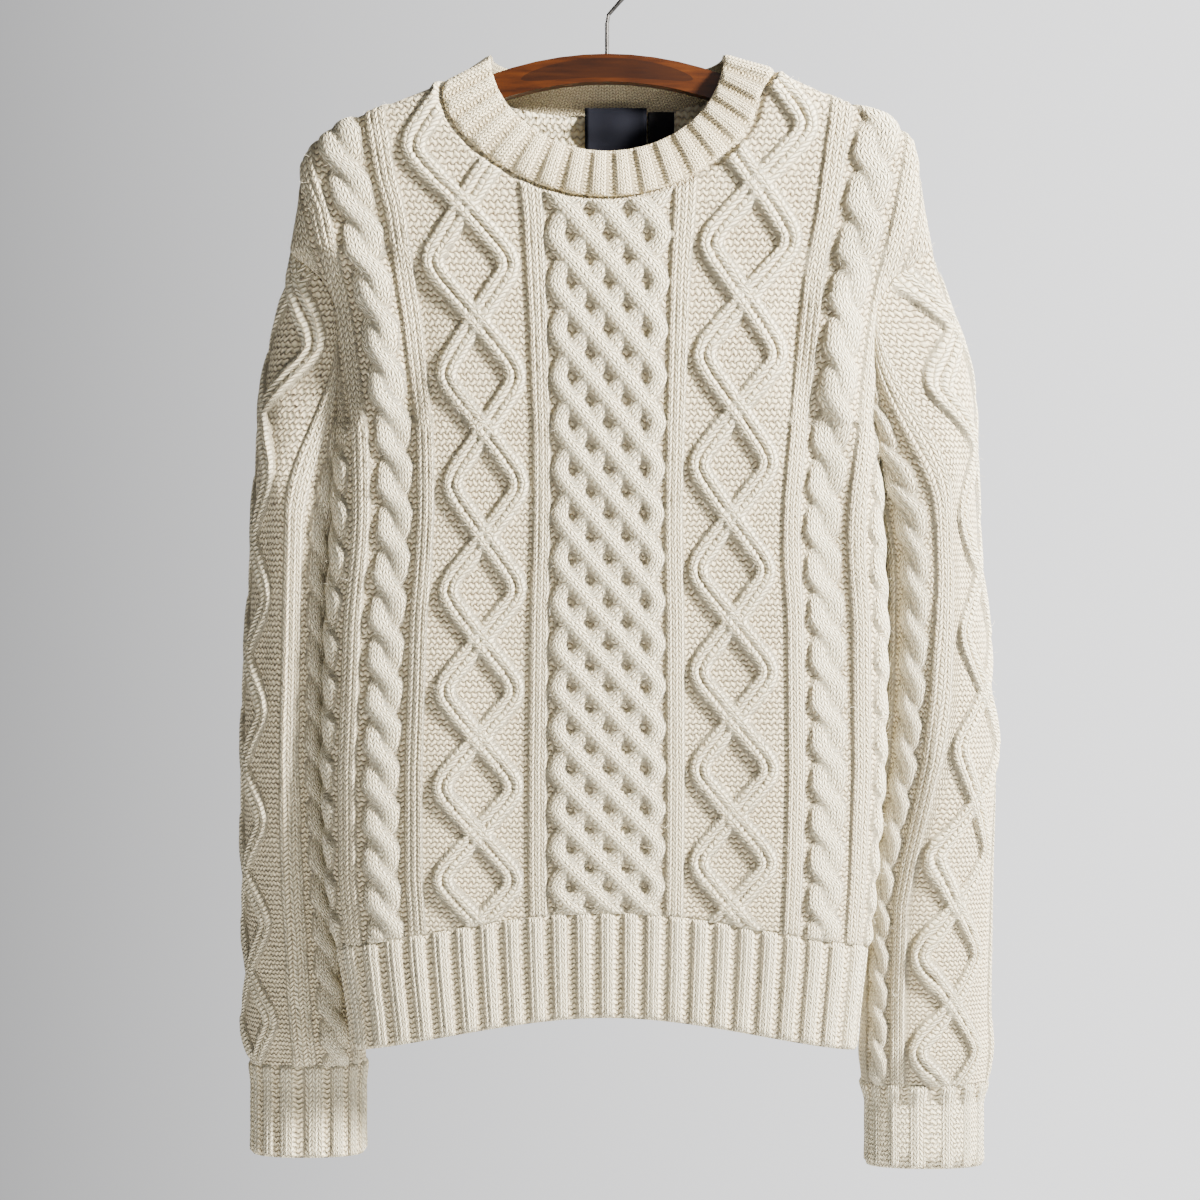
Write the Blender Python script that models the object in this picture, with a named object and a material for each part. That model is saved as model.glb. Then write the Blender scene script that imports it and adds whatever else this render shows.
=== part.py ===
# Cable-knit crew-neck sweater on a wooden hanger, in metres, +Z up, front facing -Y.
# The origin is the inside top of the hanger's wire hook, where a rail or a nail carries it.
import math

import bmesh
import bpy
import numpy as np
from mathutils import Vector

MM = 0.001

# Driving dimensions, in millimetres
WALL = 3.2                # thickness of the knit
SEAM = 0.3                # space kept between two pieces at a seam
PANEL_HALF = 215.0        # half width of a body panel, from centre to side seam, in knit widths
NECK_HALF = 93.0          # half width of the neck hole in the same knit widths
SEAM_Y = 0.0              # plane of the side and shoulder seams
HEM_TOP_Z = -689.0        # top of the hem rib at the centre front
HEM_HEIGHT = 74.0
HEM_DROP = 30.0           # how much lower the sides of the hem hang
FRONT_NECK_Z = -183.0     # lowest point of the front neckline
BACK_NECK_Z = -121.0
ARMHOLE_TOP = {"left": -218.0, "right": -211.0}
ARMHOLE_BOTTOM = -345.0
ARMHOLE_GAP = 20.0        # half width of the armhole, front to back
NECKBAND_HALF = 84.0      # half width of the neckband's inner edge
NECKBAND_FRONT_Z = -149.0
NECKBAND_BACK_Z = -95.0
NECKBAND_SIDE_Z = -75.0
NECKBAND_FORWARD = 23.0   # of the inner edge, before and behind the seam plane
NECKBAND_BACKWARD = 16.0
NECKBAND_RIBS = 36
HEM_RIBS = 27
CUFF_RIBS = 13
LEVEL_Z = -640.0          # below this height the wall's thickness lies level, so that rims meet
HANGER_TOP_Z = -75.3
HANGER_HEIGHT = 20.0
HANGER_THICK = 10.0
HANGER_HALF = 205.0
HANGER_DROP = 15.2        # fall of the top edge at the neckband, NECKBAND_HALF from the centre
WIRE = 3.0                # diameter of the hook's wire
HOOK_RADIUS = 19.5        # of the wire's centre line

# Raised heights of the stitch patterns
RIB_HIGH = 2.2
CABLE_HIGH = 4.4
LINE_HIGH = 3.0
LATTICE_HIGH = 4.0
BAND_HIGH = 1.8

# Lengths of the repeats along the knit, in millimetres at the hem's scale
DIAMOND_REPEAT = 64.5
CABLE_REPEAT = 27.5
LATTICE_STEP = 13.6
LATTICE_LANE = 13.3
STRETCH_Z = -650.0        # height where the knit is unstretched
STRETCH = 6.39e-4         # growth of the knit's scale for each millimetre above it

# Body outline: height, half width at the left, half width at the right, depth in front, behind, tuck
# The tuck is how far the sides come in behind the front ridges.
BODY = [
    (-800.0, 190.0, 186.0, 46.0, 33.0, 30.0),
    (-767.0, 194.0, 189.0, 46.0, 33.0, 31.0),
    (-720.0, 202.0, 195.0, 46.0, 34.0, 33.0),
    (-664.0, 208.5, 200.0, 46.0, 34.0, 33.0),
    (-589.0, 210.5, 205.0, 45.0, 34.0, 29.0),
    (-486.0, 206.0, 205.0, 44.0, 34.0, 22.0),
    (-413.0, 199.5, 200.0, 43.0, 34.0, 15.0),
    (-345.0, 197.0, 196.0, 41.0, 34.0, 9.0),
    (-290.0, 197.0, 195.0, 38.0, 32.0, 5.0),
    (-258.0, 199.0, 197.0, 35.0, 29.0, 2.0),
    (-239.0, 206.0, 207.0, 33.0, 26.0, 0.0),
    (-218.0, 227.0, 233.0, 30.0, 23.0, 0.0),
    (-186.0, 221.0, 227.0, 29.0, 21.0, 0.0),
    (-157.0, 218.0, 223.0, 26.0, 19.5, 0.0),
    (-139.0, 209.0, 218.0, 24.0, 18.5, 0.0),
    (-123.0, 184.0, 203.0, 22.0, 18.0, 0.0),
    (-109.0, 148.0, 167.0, 20.5, 17.5, 0.0),
    (-95.0, 113.0, 136.0, 19.5, 17.0, 0.0),
    (-86.0, 96.0, 116.0, 19.0, 16.5, 0.0),
]

# Shoulder seam: knit width from the centre, height at the left, height at the right
SHOULDER = [
    (93.0, -92.0, -85.5),
    (122.0, -109.0, -98.0),
    (150.0, -123.0, -111.0),
    (172.0, -139.0, -122.0),
    (185.0, -157.0, -140.0),
    (200.0, -186.0, -172.0),
    (215.0, -218.0, -211.0),
]

# Sleeve outlines: height, outer edge, inner edge, depth in front and behind, middle's place in Y
SLEEVE = {
    "left": [
        (-345.0, 250.0, 199.0, 42.0, 12.0),
        (-383.0, 254.5, 197.5, 42.0, 12.0),
        (-450.0, 257.5, 199.0, 40.0, 15.0),
        (-584.0, 263.0, 199.0, 36.0, 17.0),
        (-655.0, 266.0, 193.0, 32.0, 18.0),
        (-756.0, 263.0, 183.0, 26.0, 18.0),
        (-806.0, 260.0, 176.0, 21.0, 18.0),
    ],
    "right": [
        (-345.0, 265.0, 198.5, 42.0, 12.0),
        (-383.0, 267.0, 198.5, 42.0, 12.0),
        (-450.0, 271.0, 196.5, 40.0, 13.0),
        (-584.0, 282.5, 194.0, 36.0, 14.0),
        (-655.0, 280.5, 188.0, 32.0, 15.0),
        (-756.0, 278.0, 185.0, 26.0, 16.0),
        (-820.0, 277.0, 186.0, 21.0, 16.0),
    ],
}
CUFF_HEIGHT = {"left": 66.0, "right": 60.0}
CUFF_BULGE = 2.0

# Stitch columns of a body panel, from the centre out: start, end and kind
COLUMNS = [
    (0.0, 34.0, "lattice"),
    (39.0, 51.0, "rib"),
    (54.0, 115.0, "diamond"),
    (120.0, 132.0, "rib"),
    (137.0, 160.0, "cable"),
    (165.0, 177.0, "rib"),
    (182.0, 203.0, "cable"),
]
# Stitch columns round a sleeve, from its outermost line, in fractions of half its girth
SLEEVE_COLUMNS = [
    (0.00, 0.28, "diamond"),
    (0.34, 0.45, "rib"),
    (0.51, 0.74, "cable"),
    (0.80, 0.90, "rib"),
]
SLEEVE_HALF = 125.0       # knit widths round half a sleeve
CORNER_ROWS = 6           # rows of the short column at each end of the neckline
PLAIN_STEP = 44.0         # knit length between rows where nothing is raised along the column
EDGE_STEP = 15.0
TURN_ROWS = (14.0, 6.0, 2.5)
SLEEVE_ROWS = 48
SLEEVE_STRIDES = {"rib": 4, "ground": 4, "cable": 2, "line": 2, "lineFoot": 2}
RING_POINTS = 241


def clear_scene():
    for item in list(bpy.data.objects):
        bpy.data.objects.remove(item, do_unlink=True)


def smooth_step(value):
    value = np.clip(value, 0.0, 1.0)
    return value * value * (3.0 - 2.0 * value)


def column_of(table, index):
    rows = sorted(table)
    return [row[0] for row in rows], [row[index] for row in rows]


def read(table, index, where):
    places, values = column_of(table, index)
    return float(np.interp(where, places, values))


def knit_row(z):
    # Distance along the knit, which is stretched more the higher it hangs
    return math.log(1.0 + STRETCH * (z - STRETCH_Z)) / STRETCH


def height_of(row):
    return STRETCH_Z + (math.exp(STRETCH * row) - 1.0) / STRETCH


def zigzag(row, repeat, phase):
    # 0 at a crossing and 1 at a corner of the diamonds
    place = ((row - phase) / repeat) % 1.0
    return 1.0 - abs(2.0 * place - 1.0)


# Plan section of the body at a height: the front or back half from the left seam to the right
def body_ring(z, side):
    angles = np.linspace(math.pi, 2.0 * math.pi, RING_POINTS)
    deep = read(BODY, 3, z) if side == "front" else read(BODY, 4, z)
    power = 2.0 / 4.0
    cosines = np.cos(angles)
    sines = np.clip(-np.sin(angles), 0.0, 1.0)
    half = np.where(cosines < 0.0, read(BODY, 1, z), read(BODY, 2, z))
    x = half * np.sign(cosines) * np.abs(cosines) ** power
    forward = -1.0 if side == "front" else 1.0
    y = SEAM_Y + forward * deep * sines ** power
    tuck = read(BODY, 5, z) * smooth_step((y + 44.0) / 64.0)
    x = x - np.sign(x) * np.minimum(tuck, np.abs(x))
    return x, y


def arc_lengths(x, y):
    return np.concatenate([[0.0], np.cumsum(np.hypot(np.diff(x), np.diff(y)))])


def shoulder_width(z, left):
    # Knit width of the panel's edge at a height: narrower up the slope of the shoulder
    index = 1 if left else 2
    heights = [row[index] for row in reversed(SHOULDER)]
    widths = [row[0] for row in reversed(SHOULDER)]
    return float(np.interp(z, heights, widths))


def armhole_cut(z, top):
    # How far the panel's edge stays short of the seam plane beside the armhole
    share = (top - z) / (top - ARMHOLE_BOTTOM)
    if share <= 0.0 or share >= 1.0:
        return 0.0
    return ARMHOLE_GAP * math.sqrt(1.0 - (2.0 * share - 1.0) ** 2)


RINGS = {}


def ring_at(z, side):
    key = (round(z, 3), side)
    if key not in RINGS:
        x, y = body_ring(z, side)
        RINGS[key] = (x, y, arc_lengths(x, y))
    return RINGS[key]


def body_point(width, z, side):
    x, y, arc = ring_at(z, side)
    middle = RING_POINTS // 2
    left = width < 0.0
    top = ARMHOLE_TOP["left" if left else "right"]
    cut = armhole_cut(z, top) + SEAM / 2.0
    reach = (arc[middle] if left else arc[-1] - arc[middle]) - cut
    share = width / shoulder_width(z, left)
    place = arc[middle] + share * reach
    return Vector((np.interp(place, arc, x), np.interp(place, arc, y), z))


def surface_normal(point, first, second, outward):
    normal = (first - point).cross(second - point)
    if normal.length < 1e-9:
        return outward.normalized()
    normal.normalize()
    return normal if normal.dot(outward) > 0.0 else -normal


def body_normal(width, z, side):
    step = 1.5
    along = width - step if width > 0.0 else width + step
    here = body_point(width, z, side)
    down = body_point(width, z - step, side)
    across = body_point(along, z, side)
    forward = -1.0 if side == "front" else 1.0
    normal = surface_normal(here, across, down, Vector((here.x * 0.4, forward * 60.0, 0.0)))
    if z < LEVEL_Z:
        normal.z = 0.0
        normal.normalize()
    return normal


def hem_top(width):
    return HEM_TOP_Z - HEM_DROP * smooth_step(abs(width) / PANEL_HALF * 0.9)


def panel_top(width, side):
    if abs(width) >= NECK_HALF:
        widths, heights = column_of(SHOULDER, 1 if width < 0.0 else 2)
        return float(np.interp(abs(width), widths, heights))
    low = FRONT_NECK_Z if side == "front" else BACK_NECK_Z
    high = SHOULDER[0][1] if width < 0.0 else SHOULDER[0][2]
    return low + (high - low) * (1.0 - math.sqrt(1.0 - (width / NECK_HALF) ** 2))


# Raised height of one stitch column at a share across it, -1 to 1, and a row along it
def relief(kind, across, row, phase):
    edge = 1.0 - abs(across)
    if kind == "rib":
        return RIB_HIGH if edge > 0.1 else 0.0
    if kind == "cable":
        turn = 2.0 * math.pi * (row - phase) / CABLE_REPEAT
        lean = 0.5 * math.sin(turn + 2.2 * across)
        return CABLE_HIGH * (0.78 + 0.22 * lean - 0.3 * abs(across)) if edge > 0.02 else 0.0
    return 0.0


def lattice_height(width, row):
    # Strands lean both ways, two lanes apart; those that lean right lie on top
    lane = width / LATTICE_LANE
    step = row / LATTICE_STEP
    over = math.cos(math.pi / 2.0 * (lane + step)) ** 2
    under = math.cos(math.pi / 2.0 * (lane - step)) ** 2
    return LATTICE_HIGH * max(over, 0.8 * under) ** 0.7


# A list of knit columns: each has a function giving its width at a row, a height function and a stride
def body_columns(fine):
    found = []
    for start, end, kind in COLUMNS:
        if kind == "lattice":
            lanes = (0.5, 1.0, 1.5, 2.0, 2.5) if fine else (1.0, 2.0, 2.5)
            step = LATTICE_STEP / (2.0 if fine else 1.0)
            found += [(lane * LATTICE_LANE, 0.0, "lattice", 0.0, step) for lane in lanes]
            found.append((end + 2.0, 0.0, "ground", 0.0, PLAIN_STEP))
        elif kind == "diamond":
            middle = (start + end) / 2.0
            reach = (end - start) / 2.0
            found += diamond_columns(middle, reach)
        else:
            found += strip_columns(start, end, kind, fine)
    found.append((PANEL_HALF, 0.0, "ground", 0.0, EDGE_STEP))
    return found


def strip_columns(start, end, kind, fine):
    middle = (start + end) / 2.0
    half = (end - start) / 2.0
    if kind == "rib":
        shares = (-1.0, -0.6, 0.6, 1.0)
        step = PLAIN_STEP
    else:
        shares = (-1.0, -0.7, 0.0, 0.7, 1.0)
        step = CABLE_REPEAT / (3.0 if fine else 2.0)
    found = []
    for share in shares:
        flat = abs(share) == 1.0
        place = middle + share * half
        found.append((place, share, "ground" if flat else kind, 0.0, PLAIN_STEP if flat else step))
    return found


def diamond_columns(middle, reach):
    found = []
    for side in (-1.0, 1.0):
        for share in ((1.0, 0.72, 0.28, 0.0) if side < 0.0 else (0.0, 0.28, 0.72, 1.0)):
            kind = "line" if share in (0.72, 0.28) else "lineFoot"
            found.append((middle, side * reach, kind, share, DIAMOND_REPEAT / 4.0))
    return found


LINE_WIDTH = 16.0
DIAMOND_PHASE = {-1: -47.7, 1: -35.6}
CABLE_PHASE = 0.0


def column_place(column, sign, row):
    # The knit width and raised height of a column at a row, on one side of the centre
    base, share, kind, part, step = column
    if kind in ("line", "lineFoot"):
        swing = abs(share) - LINE_WIDTH
        zig = zigzag(row, DIAMOND_REPEAT, DIAMOND_PHASE[sign])
        near = 0.6 + swing * zig
        width = base + math.copysign(near + part * LINE_WIDTH, share)
        return sign * width, (LINE_HIGH if kind == "line" else 0.0)
    if kind == "lattice":
        return sign * base, lattice_height(base, row)
    return sign * base, relief(kind, share * sign, row, CABLE_PHASE)


def fade(column, z):
    # The outer cable starts under the armhole: plain knit runs above it
    outer = column[2] == "cable" and column[0] > COLUMNS[5][1]
    return 1.0 if not outer else 0.35 + 0.65 * float(smooth_step((-330.0 - z) / 40.0))


# Mesh helpers: two rows of points with their own spacing are joined by triangles
def zip_rows(mesh, first, second):
    i = 0
    j = 0
    while i < len(first) - 1 or j < len(second) - 1:
        step_first = j == len(second) - 1
        if not step_first and i < len(first) - 1:
            step_first = first[i + 1][0] <= second[j + 1][0]
        if step_first:
            corners = (first[i][1], first[i + 1][1], second[j][1])
            i += 1
        else:
            corners = (first[i][1], second[j + 1][1], second[j][1])
            j += 1
        if len(set(corners)) == 3:
            mesh.faces.new(corners)


def zip_sheet(mesh, columns):
    for first, second in zip(columns, columns[1:]):
        zip_rows(mesh, first, second)


def ends_of(columns, index):
    return [(place, rows[index][1]) for place, rows in columns]


def close_panel(mesh, outer, inner):
    zip_sheet(mesh, [rows for place, rows in outer])
    zip_sheet(mesh, [rows for place, rows in inner])
    zip_rows(mesh, outer[0][1], inner[0][1])
    zip_rows(mesh, outer[-1][1], inner[-1][1])
    zip_rows(mesh, ends_of(outer, 0), ends_of(inner, 0))
    zip_rows(mesh, ends_of(outer, -1), ends_of(inner, -1))


def close_tube(mesh, outer, inner, turn):
    for columns in (outer, inner):
        columns.append((columns[0][0] + turn, columns[0][1]))
        zip_sheet(mesh, [rows for place, rows in columns])
    zip_rows(mesh, ends_of(outer, 0), ends_of(inner, 0))
    zip_rows(mesh, ends_of(outer, -1), ends_of(inner, -1))


def add_point(mesh, point):
    return mesh.verts.new(point * MM)


def finish_mesh(name, mesh, material, collection, soft=True):
    bmesh.ops.recalc_face_normals(mesh, faces=mesh.faces[:])
    if mesh.calc_volume(signed=True) < 0.0:
        bmesh.ops.reverse_faces(mesh, faces=mesh.faces[:])
    data = bpy.data.meshes.new(name)
    mesh.to_mesh(data)
    mesh.free()
    data.materials.append(material)
    if soft:
        data.shade_smooth()
        data.set_sharp_from_angle(angle=math.radians(60.0))
    piece = bpy.data.objects.new(name, data)
    collection.objects.link(piece)
    return piece


def row_heights(low, top, step, phase):
    # Rows fall on the repeats, and close up below the top edge, where the cloth turns over the hanger
    heights = [low]
    count = math.ceil((knit_row(low) - phase) / step)
    while True:
        z = height_of(phase + count * step)
        if z > top - TURN_ROWS[0] - 1.0:
            break
        if z > low + 2.0:
            heights.append(z)
        count += 1
    return heights + [top - drop for drop in TURN_ROWS] + [top]


def column_top(column, sign, side):
    # The height where a column, which may wander sideways, meets the panel's top edge
    z = panel_top(sign * PANEL_HALF, side)
    if column[2] not in ("line", "lineFoot"):
        return panel_top(sign * column[0], side)
    low = FRONT_NECK_Z if side == "front" else BACK_NECK_Z
    z = low - 1.0
    while z < panel_top(column_place(column, sign, knit_row(z))[0], side):
        z += 0.5
    return z


def knit_rows(mesh, column, sign, side):
    # One column of points up a panel: shares of its length and the points themselves
    found = []
    top = column_top(column, sign, side)
    low = hem_top(column_place(column, sign, knit_row(HEM_TOP_Z))[0]) + SEAM / 2.0
    line = column[2] in ("line", "lineFoot")
    phase = DIAMOND_PHASE[sign] if line else 0.0
    for z in row_heights(low, top, column[4], phase):
        share = (z - low) / (top - low)
        width, high = column_place(column, sign, knit_row(z))
        if share == 0.0:
            z = hem_top(width) + SEAM / 2.0
        edge = min(1.0, 8.0 * share, 8.0 * (1.0 - share))
        high *= fade(column, z) * edge
        point = body_point(width, z, side)
        vertex = add_point(mesh, point + body_normal(width, z, side) * high)
        found.append((share, vertex, width, z))
    return width, found


def neck_corner(mesh, outer, side):
    # The corner where the neckline meets the shoulder gets a short column of its own
    for index in range(len(outer) - 1):
        first, second = outer[index], outer[index + 1]
        ends = abs(first[0]), abs(second[0])
        if not min(ends) < NECK_HALF < max(ends):
            continue
        near = first if ends[0] < ends[1] else second
        corner = math.copysign(NECK_HALF, near[0])
        start = len(near[1]) - CORNER_ROWS
        base, vertex, low, high = near[1][start]
        rows = near[1][:start + 1]
        for share, vertex, width, z in near[1][start + 1:]:
            way = (share - base) / (1.0 - base)
            width = low + (corner - low) * way
            z = high + (panel_top(corner, side) - high) * way
            vertex = add_point(mesh, body_point(width, z, side))
            rows.append((share, vertex, width, z))
        outer.insert(index + 1, (corner, rows))
        return


def make_panel(name, side, material, collection, fine):
    mesh = bmesh.new()
    columns = body_columns(fine)
    outer = []
    for column in reversed(columns):
        width, rows = knit_rows(mesh, column, -1, side)
        outer.append((width, rows))
    for column in columns:
        width, rows = knit_rows(mesh, column, 1, side)
        outer.append((width, rows))
    for half in (outer[:len(columns)], outer[len(columns):]):
        place = outer.index(half[0])
        count = len(half)
        neck_corner(mesh, half, side)
        outer[place:place + count] = half
    inner = []
    half = [10.0, 34.0, 54.0, 75.0, 88.0, 91.5, NECK_HALF, 98.0, 115.0, 137.0, 160.0, 185.0, 203.0, PANEL_HALF]
    for width in [-value for value in reversed(half)] + half:
        rows = []
        low = hem_top(width) + SEAM / 2.0
        top = panel_top(width, side)
        for z in row_heights(low, top, PLAIN_STEP, 0.0):
            share = (z - low) / (top - low)
            point = body_point(width, z, side) - body_normal(width, z, side) * WALL
            rows.append((share, add_point(mesh, point)))
        inner.append((width, rows))
    close_panel(mesh, outer, inner)
    return finish_mesh(name, mesh, material, collection)


# The hem: ribs that carry on from a panel's lower edge
def make_hem(name, side, material, collection):
    mesh = bmesh.new()
    outer = []
    inner = []
    heights = (0.0, 0.08, 0.92, 1.0)
    for rib in range(2 * HEM_RIBS + 1):
        width = -PANEL_HALF + PANEL_HALF * rib / HEM_RIBS
        raised = BAND_HIGH if rib % 2 else 0.0
        rows = []
        for share in heights:
            z = hem_top(width) - SEAM - HEM_HEIGHT * share
            high = raised if 0.0 < share < 1.0 else 0.0
            point = body_point(width, z, side) + body_normal(width, z, side) * high
            rows.append((share, add_point(mesh, point)))
        outer.append((width, rows))
    for step in range(2 * HEM_RIBS // 3 + 1):
        width = -PANEL_HALF + 3.0 * PANEL_HALF * step / HEM_RIBS
        rows = []
        for share in (0.0, 1.0):
            z = hem_top(width) - SEAM - HEM_HEIGHT * share
            point = body_point(width, z, side) - body_normal(width, z, side) * WALL
            rows.append((share, add_point(mesh, point)))
        inner.append((width, rows))
    close_panel(mesh, outer, inner)
    return finish_mesh(name, mesh, material, collection)


# Sleeve section point: turn 0 faces outwards, pi / 2 forwards, pi towards the body
def sleeve_point(turn, z, hand, grow=0.0):
    sign = -1.0 if hand == "left" else 1.0
    table = SLEEVE[hand]
    outer = read(table, 1, z) + grow
    inner = read(table, 2, z) - grow
    deep = read(table, 3, z) + grow
    middle = (outer + inner) / 2.0
    half = (outer - inner) / 2.0
    power = 2.0 / 2.4
    cosine = math.cos(turn)
    sine = math.sin(turn)
    x = middle + half * math.copysign(abs(cosine) ** power, cosine)
    y = read(table, 4, z) - deep * math.copysign(abs(sine) ** power, sine)
    return Vector((sign * x, y, z))


def armhole_point(turn, hand):
    # The seam round the armhole: from the shoulder point down the front or back to the underarm
    share = abs(math.remainder(turn, 2.0 * math.pi)) / math.pi
    front = math.sin(turn) >= 0.0
    top = ARMHOLE_TOP[hand]
    z = top + (ARMHOLE_BOTTOM - top) * (1.0 - math.cos(turn)) / 2.0
    side = "front" if front else "back"
    sign = -1.0 if hand == "left" else 1.0
    point = body_point(sign * shoulder_width(z, sign < 0.0), z, side)
    point.x += sign * (2.0 * SEAM + WALL * (1.0 - share) ** 2 + 1.8 * math.sin(math.pi * share))
    return point


def sleeve_base(turn, share, hand):
    # The cap runs from the armhole seam into the hanging tube
    top = ARMHOLE_TOP[hand]
    bottom = SLEEVE[hand][-1][0] + SEAM
    start = armhole_point(turn, hand)
    z = start.z + (bottom - start.z) * share
    if z > ARMHOLE_BOTTOM:
        level = sleeve_point(turn, ARMHOLE_BOTTOM, hand)
    else:
        level = sleeve_point(turn, z, hand)
    reach = float(smooth_step(share / 0.24))
    spread = start.lerp(level, reach)
    sign = -1.0 if hand == "left" else 1.0
    if math.cos(turn) > 0.0:
        # The outermost line follows the outline of the upper sleeve
        bow = math.cos(turn) * CAP_BOW[hand] * math.sin(math.pi * min(1.0, share / 0.24))
        spread.x += sign * bow
    return Vector((spread.x, spread.y, z))


CAP_BOW = {"left": 4.0, "right": 7.0}


def sleeve_normal(turn, share, hand):
    here = sleeve_base(turn, share, hand)
    step_share = 0.01 if share < 0.98 else -0.01
    across = sleeve_base(turn + 0.05, share, hand)
    down = sleeve_base(turn, share + step_share, hand)
    sign = -1.0 if hand == "left" else 1.0
    outward = Vector((sign * math.cos(turn), -math.sin(turn), 0.0))
    normal = surface_normal(here, across, down, outward)
    if share > 0.9:
        normal.z = 0.0
        normal.normalize()
    return normal


def sleeve_columns():
    found = []
    for start, end, kind in SLEEVE_COLUMNS:
        if kind == "diamond":
            reach = end * SLEEVE_HALF
            found += [c for c in diamond_columns(0.0, reach)]
        else:
            found += strip_columns(start * SLEEVE_HALF, end * SLEEVE_HALF, kind, False)
    return found


def make_sleeve(name, hand, material, collection):
    mesh = bmesh.new()
    plain = sleeve_columns()
    ordered = [(1, c) for c in plain if c[2] not in ("line", "lineFoot")]
    lines = [(1, c) for c in plain if c[2] in ("line", "lineFoot")]
    mirror = [(-1, c) for c in reversed([c for sign, c in ordered])]
    outer = []
    for sign, column in mirror + lines + ordered:
        rows = []
        for step in range(0, SLEEVE_ROWS + 1, SLEEVE_STRIDES[column[2]]):
            share = step / SLEEVE_ROWS
            z = sleeve_base(0.0, share, hand).z
            width, high = column_place(column, sign, knit_row(z))
            turn = math.pi * width / SLEEVE_HALF
            edge = min(1.0, 7.0 * share, 10.0 * (1.0 - share))
            point = sleeve_base(turn, share, hand)
            point = point + sleeve_normal(turn, share, hand) * high * edge
            rows.append((share, add_point(mesh, point)))
        outer.append((turn, rows))
    back_rows = []
    for step in range(0, SLEEVE_ROWS + 1, 4):
        share = step / SLEEVE_ROWS
        back_rows.append((share, add_point(mesh, sleeve_base(math.pi, share, hand))))
    outer.append((math.pi, back_rows))
    inner = []
    turns = 16
    for index in range(turns):
        turn = math.pi * (2.0 * (index + 1) / turns - 1.0)
        rows = []
        for step in range(0, SLEEVE_ROWS + 1, 4):
            share = step / SLEEVE_ROWS
            point = sleeve_base(turn, share, hand) - sleeve_normal(turn, share, hand) * WALL
            rows.append((share, add_point(mesh, point)))
        inner.append((turn, rows))
    close_tube(mesh, outer, inner, 2.0 * math.pi)
    return finish_mesh(name, mesh, material, collection)


def make_cuff(name, hand, material, collection):
    mesh = bmesh.new()
    top = SLEEVE[hand][-1][0]
    height = CUFF_HEIGHT[hand]
    outer = []
    inner = []
    for rib in range(4 * CUFF_RIBS):
        turn = math.pi * rib / (2.0 * CUFF_RIBS) - math.pi
        rows = []
        for share in (0.0, 0.08, 0.92, 1.0):
            raised = BAND_HIGH if rib % 2 and 0.0 < share < 1.0 else 0.0
            bulge = CUFF_BULGE * math.sin(math.pi * share) + raised
            point = sleeve_point(turn, top, hand, bulge)
            point.z = top - SEAM / 2.0 - height * share
            rows.append((share, add_point(mesh, point)))
        outer.append((turn, rows))
    for step in range(2 * CUFF_RIBS):
        turn = math.pi * step / CUFF_RIBS - math.pi
        rows = []
        for share in (0.0, 0.5, 1.0):
            bulge = CUFF_BULGE * math.sin(math.pi * share) - WALL
            point = sleeve_point(turn, top, hand, bulge)
            point.z = top - SEAM / 2.0 - height * share
            rows.append((share, add_point(mesh, point)))
        inner.append((turn, rows))
    close_tube(mesh, outer, inner, 2.0 * math.pi)
    return finish_mesh(name, mesh, material, collection)


# Neckband: a ring from the neckline seam to the open inner edge
def neckline_point(turn):
    # turn 0 is the right side, pi / 2 the centre front
    side = "front" if math.sin(turn) >= 0.0 else "back"
    width = NECK_HALF * math.cos(turn)
    return body_point(width, panel_top(width, side), side)


def neckband_edge(turn):
    sine = math.sin(turn)
    low = NECKBAND_FRONT_Z if sine >= 0.0 else NECKBAND_BACK_Z
    z = NECKBAND_SIDE_Z + (low - NECKBAND_SIDE_Z) * abs(sine)
    reach = NECKBAND_FORWARD if sine >= 0.0 else NECKBAND_BACKWARD
    y = SEAM_Y - reach * math.copysign(math.sqrt(abs(sine)), sine)
    return Vector((NECKBAND_HALF * math.cos(turn), y, z))


def neckband_point(turn, share):
    start = neckline_point(turn)
    end = neckband_edge(turn)
    way = end - start
    apart = NECKBAND_SEAM * (1.0 + 1.6 * abs(math.cos(turn)) ** 3)
    point = start + way.normalized() * apart * (1.0 - share) + way * share
    point.y -= math.sin(turn) * 3.0 * math.sin(math.pi * share)
    return point


NECKBAND_SEAM = 2.0


def neckband_normal(turn, share):
    here = neckband_point(turn, share)
    across = neckband_point(turn + 0.04, share)
    down = neckband_point(turn, share + (0.05 if share < 0.9 else -0.05))
    outward = Vector((math.cos(turn) * 0.7, -math.sin(turn), 0.8))
    return surface_normal(here, across, down, outward)


def make_neckband(name, material, collection):
    mesh = bmesh.new()
    outer = []
    inner = []
    for rib in range(2 * NECKBAND_RIBS):
        turn = math.pi * rib / NECKBAND_RIBS
        rows = []
        for share in (0.0, 0.12, 0.85, 1.0):
            raised = BAND_HIGH if rib % 2 and 0.0 < share < 1.0 else 0.0
            point = neckband_point(turn, share) + neckband_normal(turn, share) * raised
            rows.append((share, add_point(mesh, point)))
        outer.append((turn, rows))
    for step in range(NECKBAND_RIBS):
        turn = 2.0 * math.pi * step / NECKBAND_RIBS
        rows = []
        for share in (0.0, 0.5, 1.0):
            point = neckband_point(turn, share) - neckband_normal(turn, share) * (WALL - 0.6)
            rows.append((share, add_point(mesh, point)))
        inner.append((turn, rows))
    close_tube(mesh, outer, inner, 2.0 * math.pi)
    return finish_mesh(name, mesh, material, collection)


# Cloth label and size tab, flat on the inside of the back panel below the neckband
LABEL = {"neck_label": (-16.0, 29.0, -127.0, -149.0), "size_tab": (30.0, 49.0, -128.0, -142.0)}
LABEL_THICK = 0.8


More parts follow.
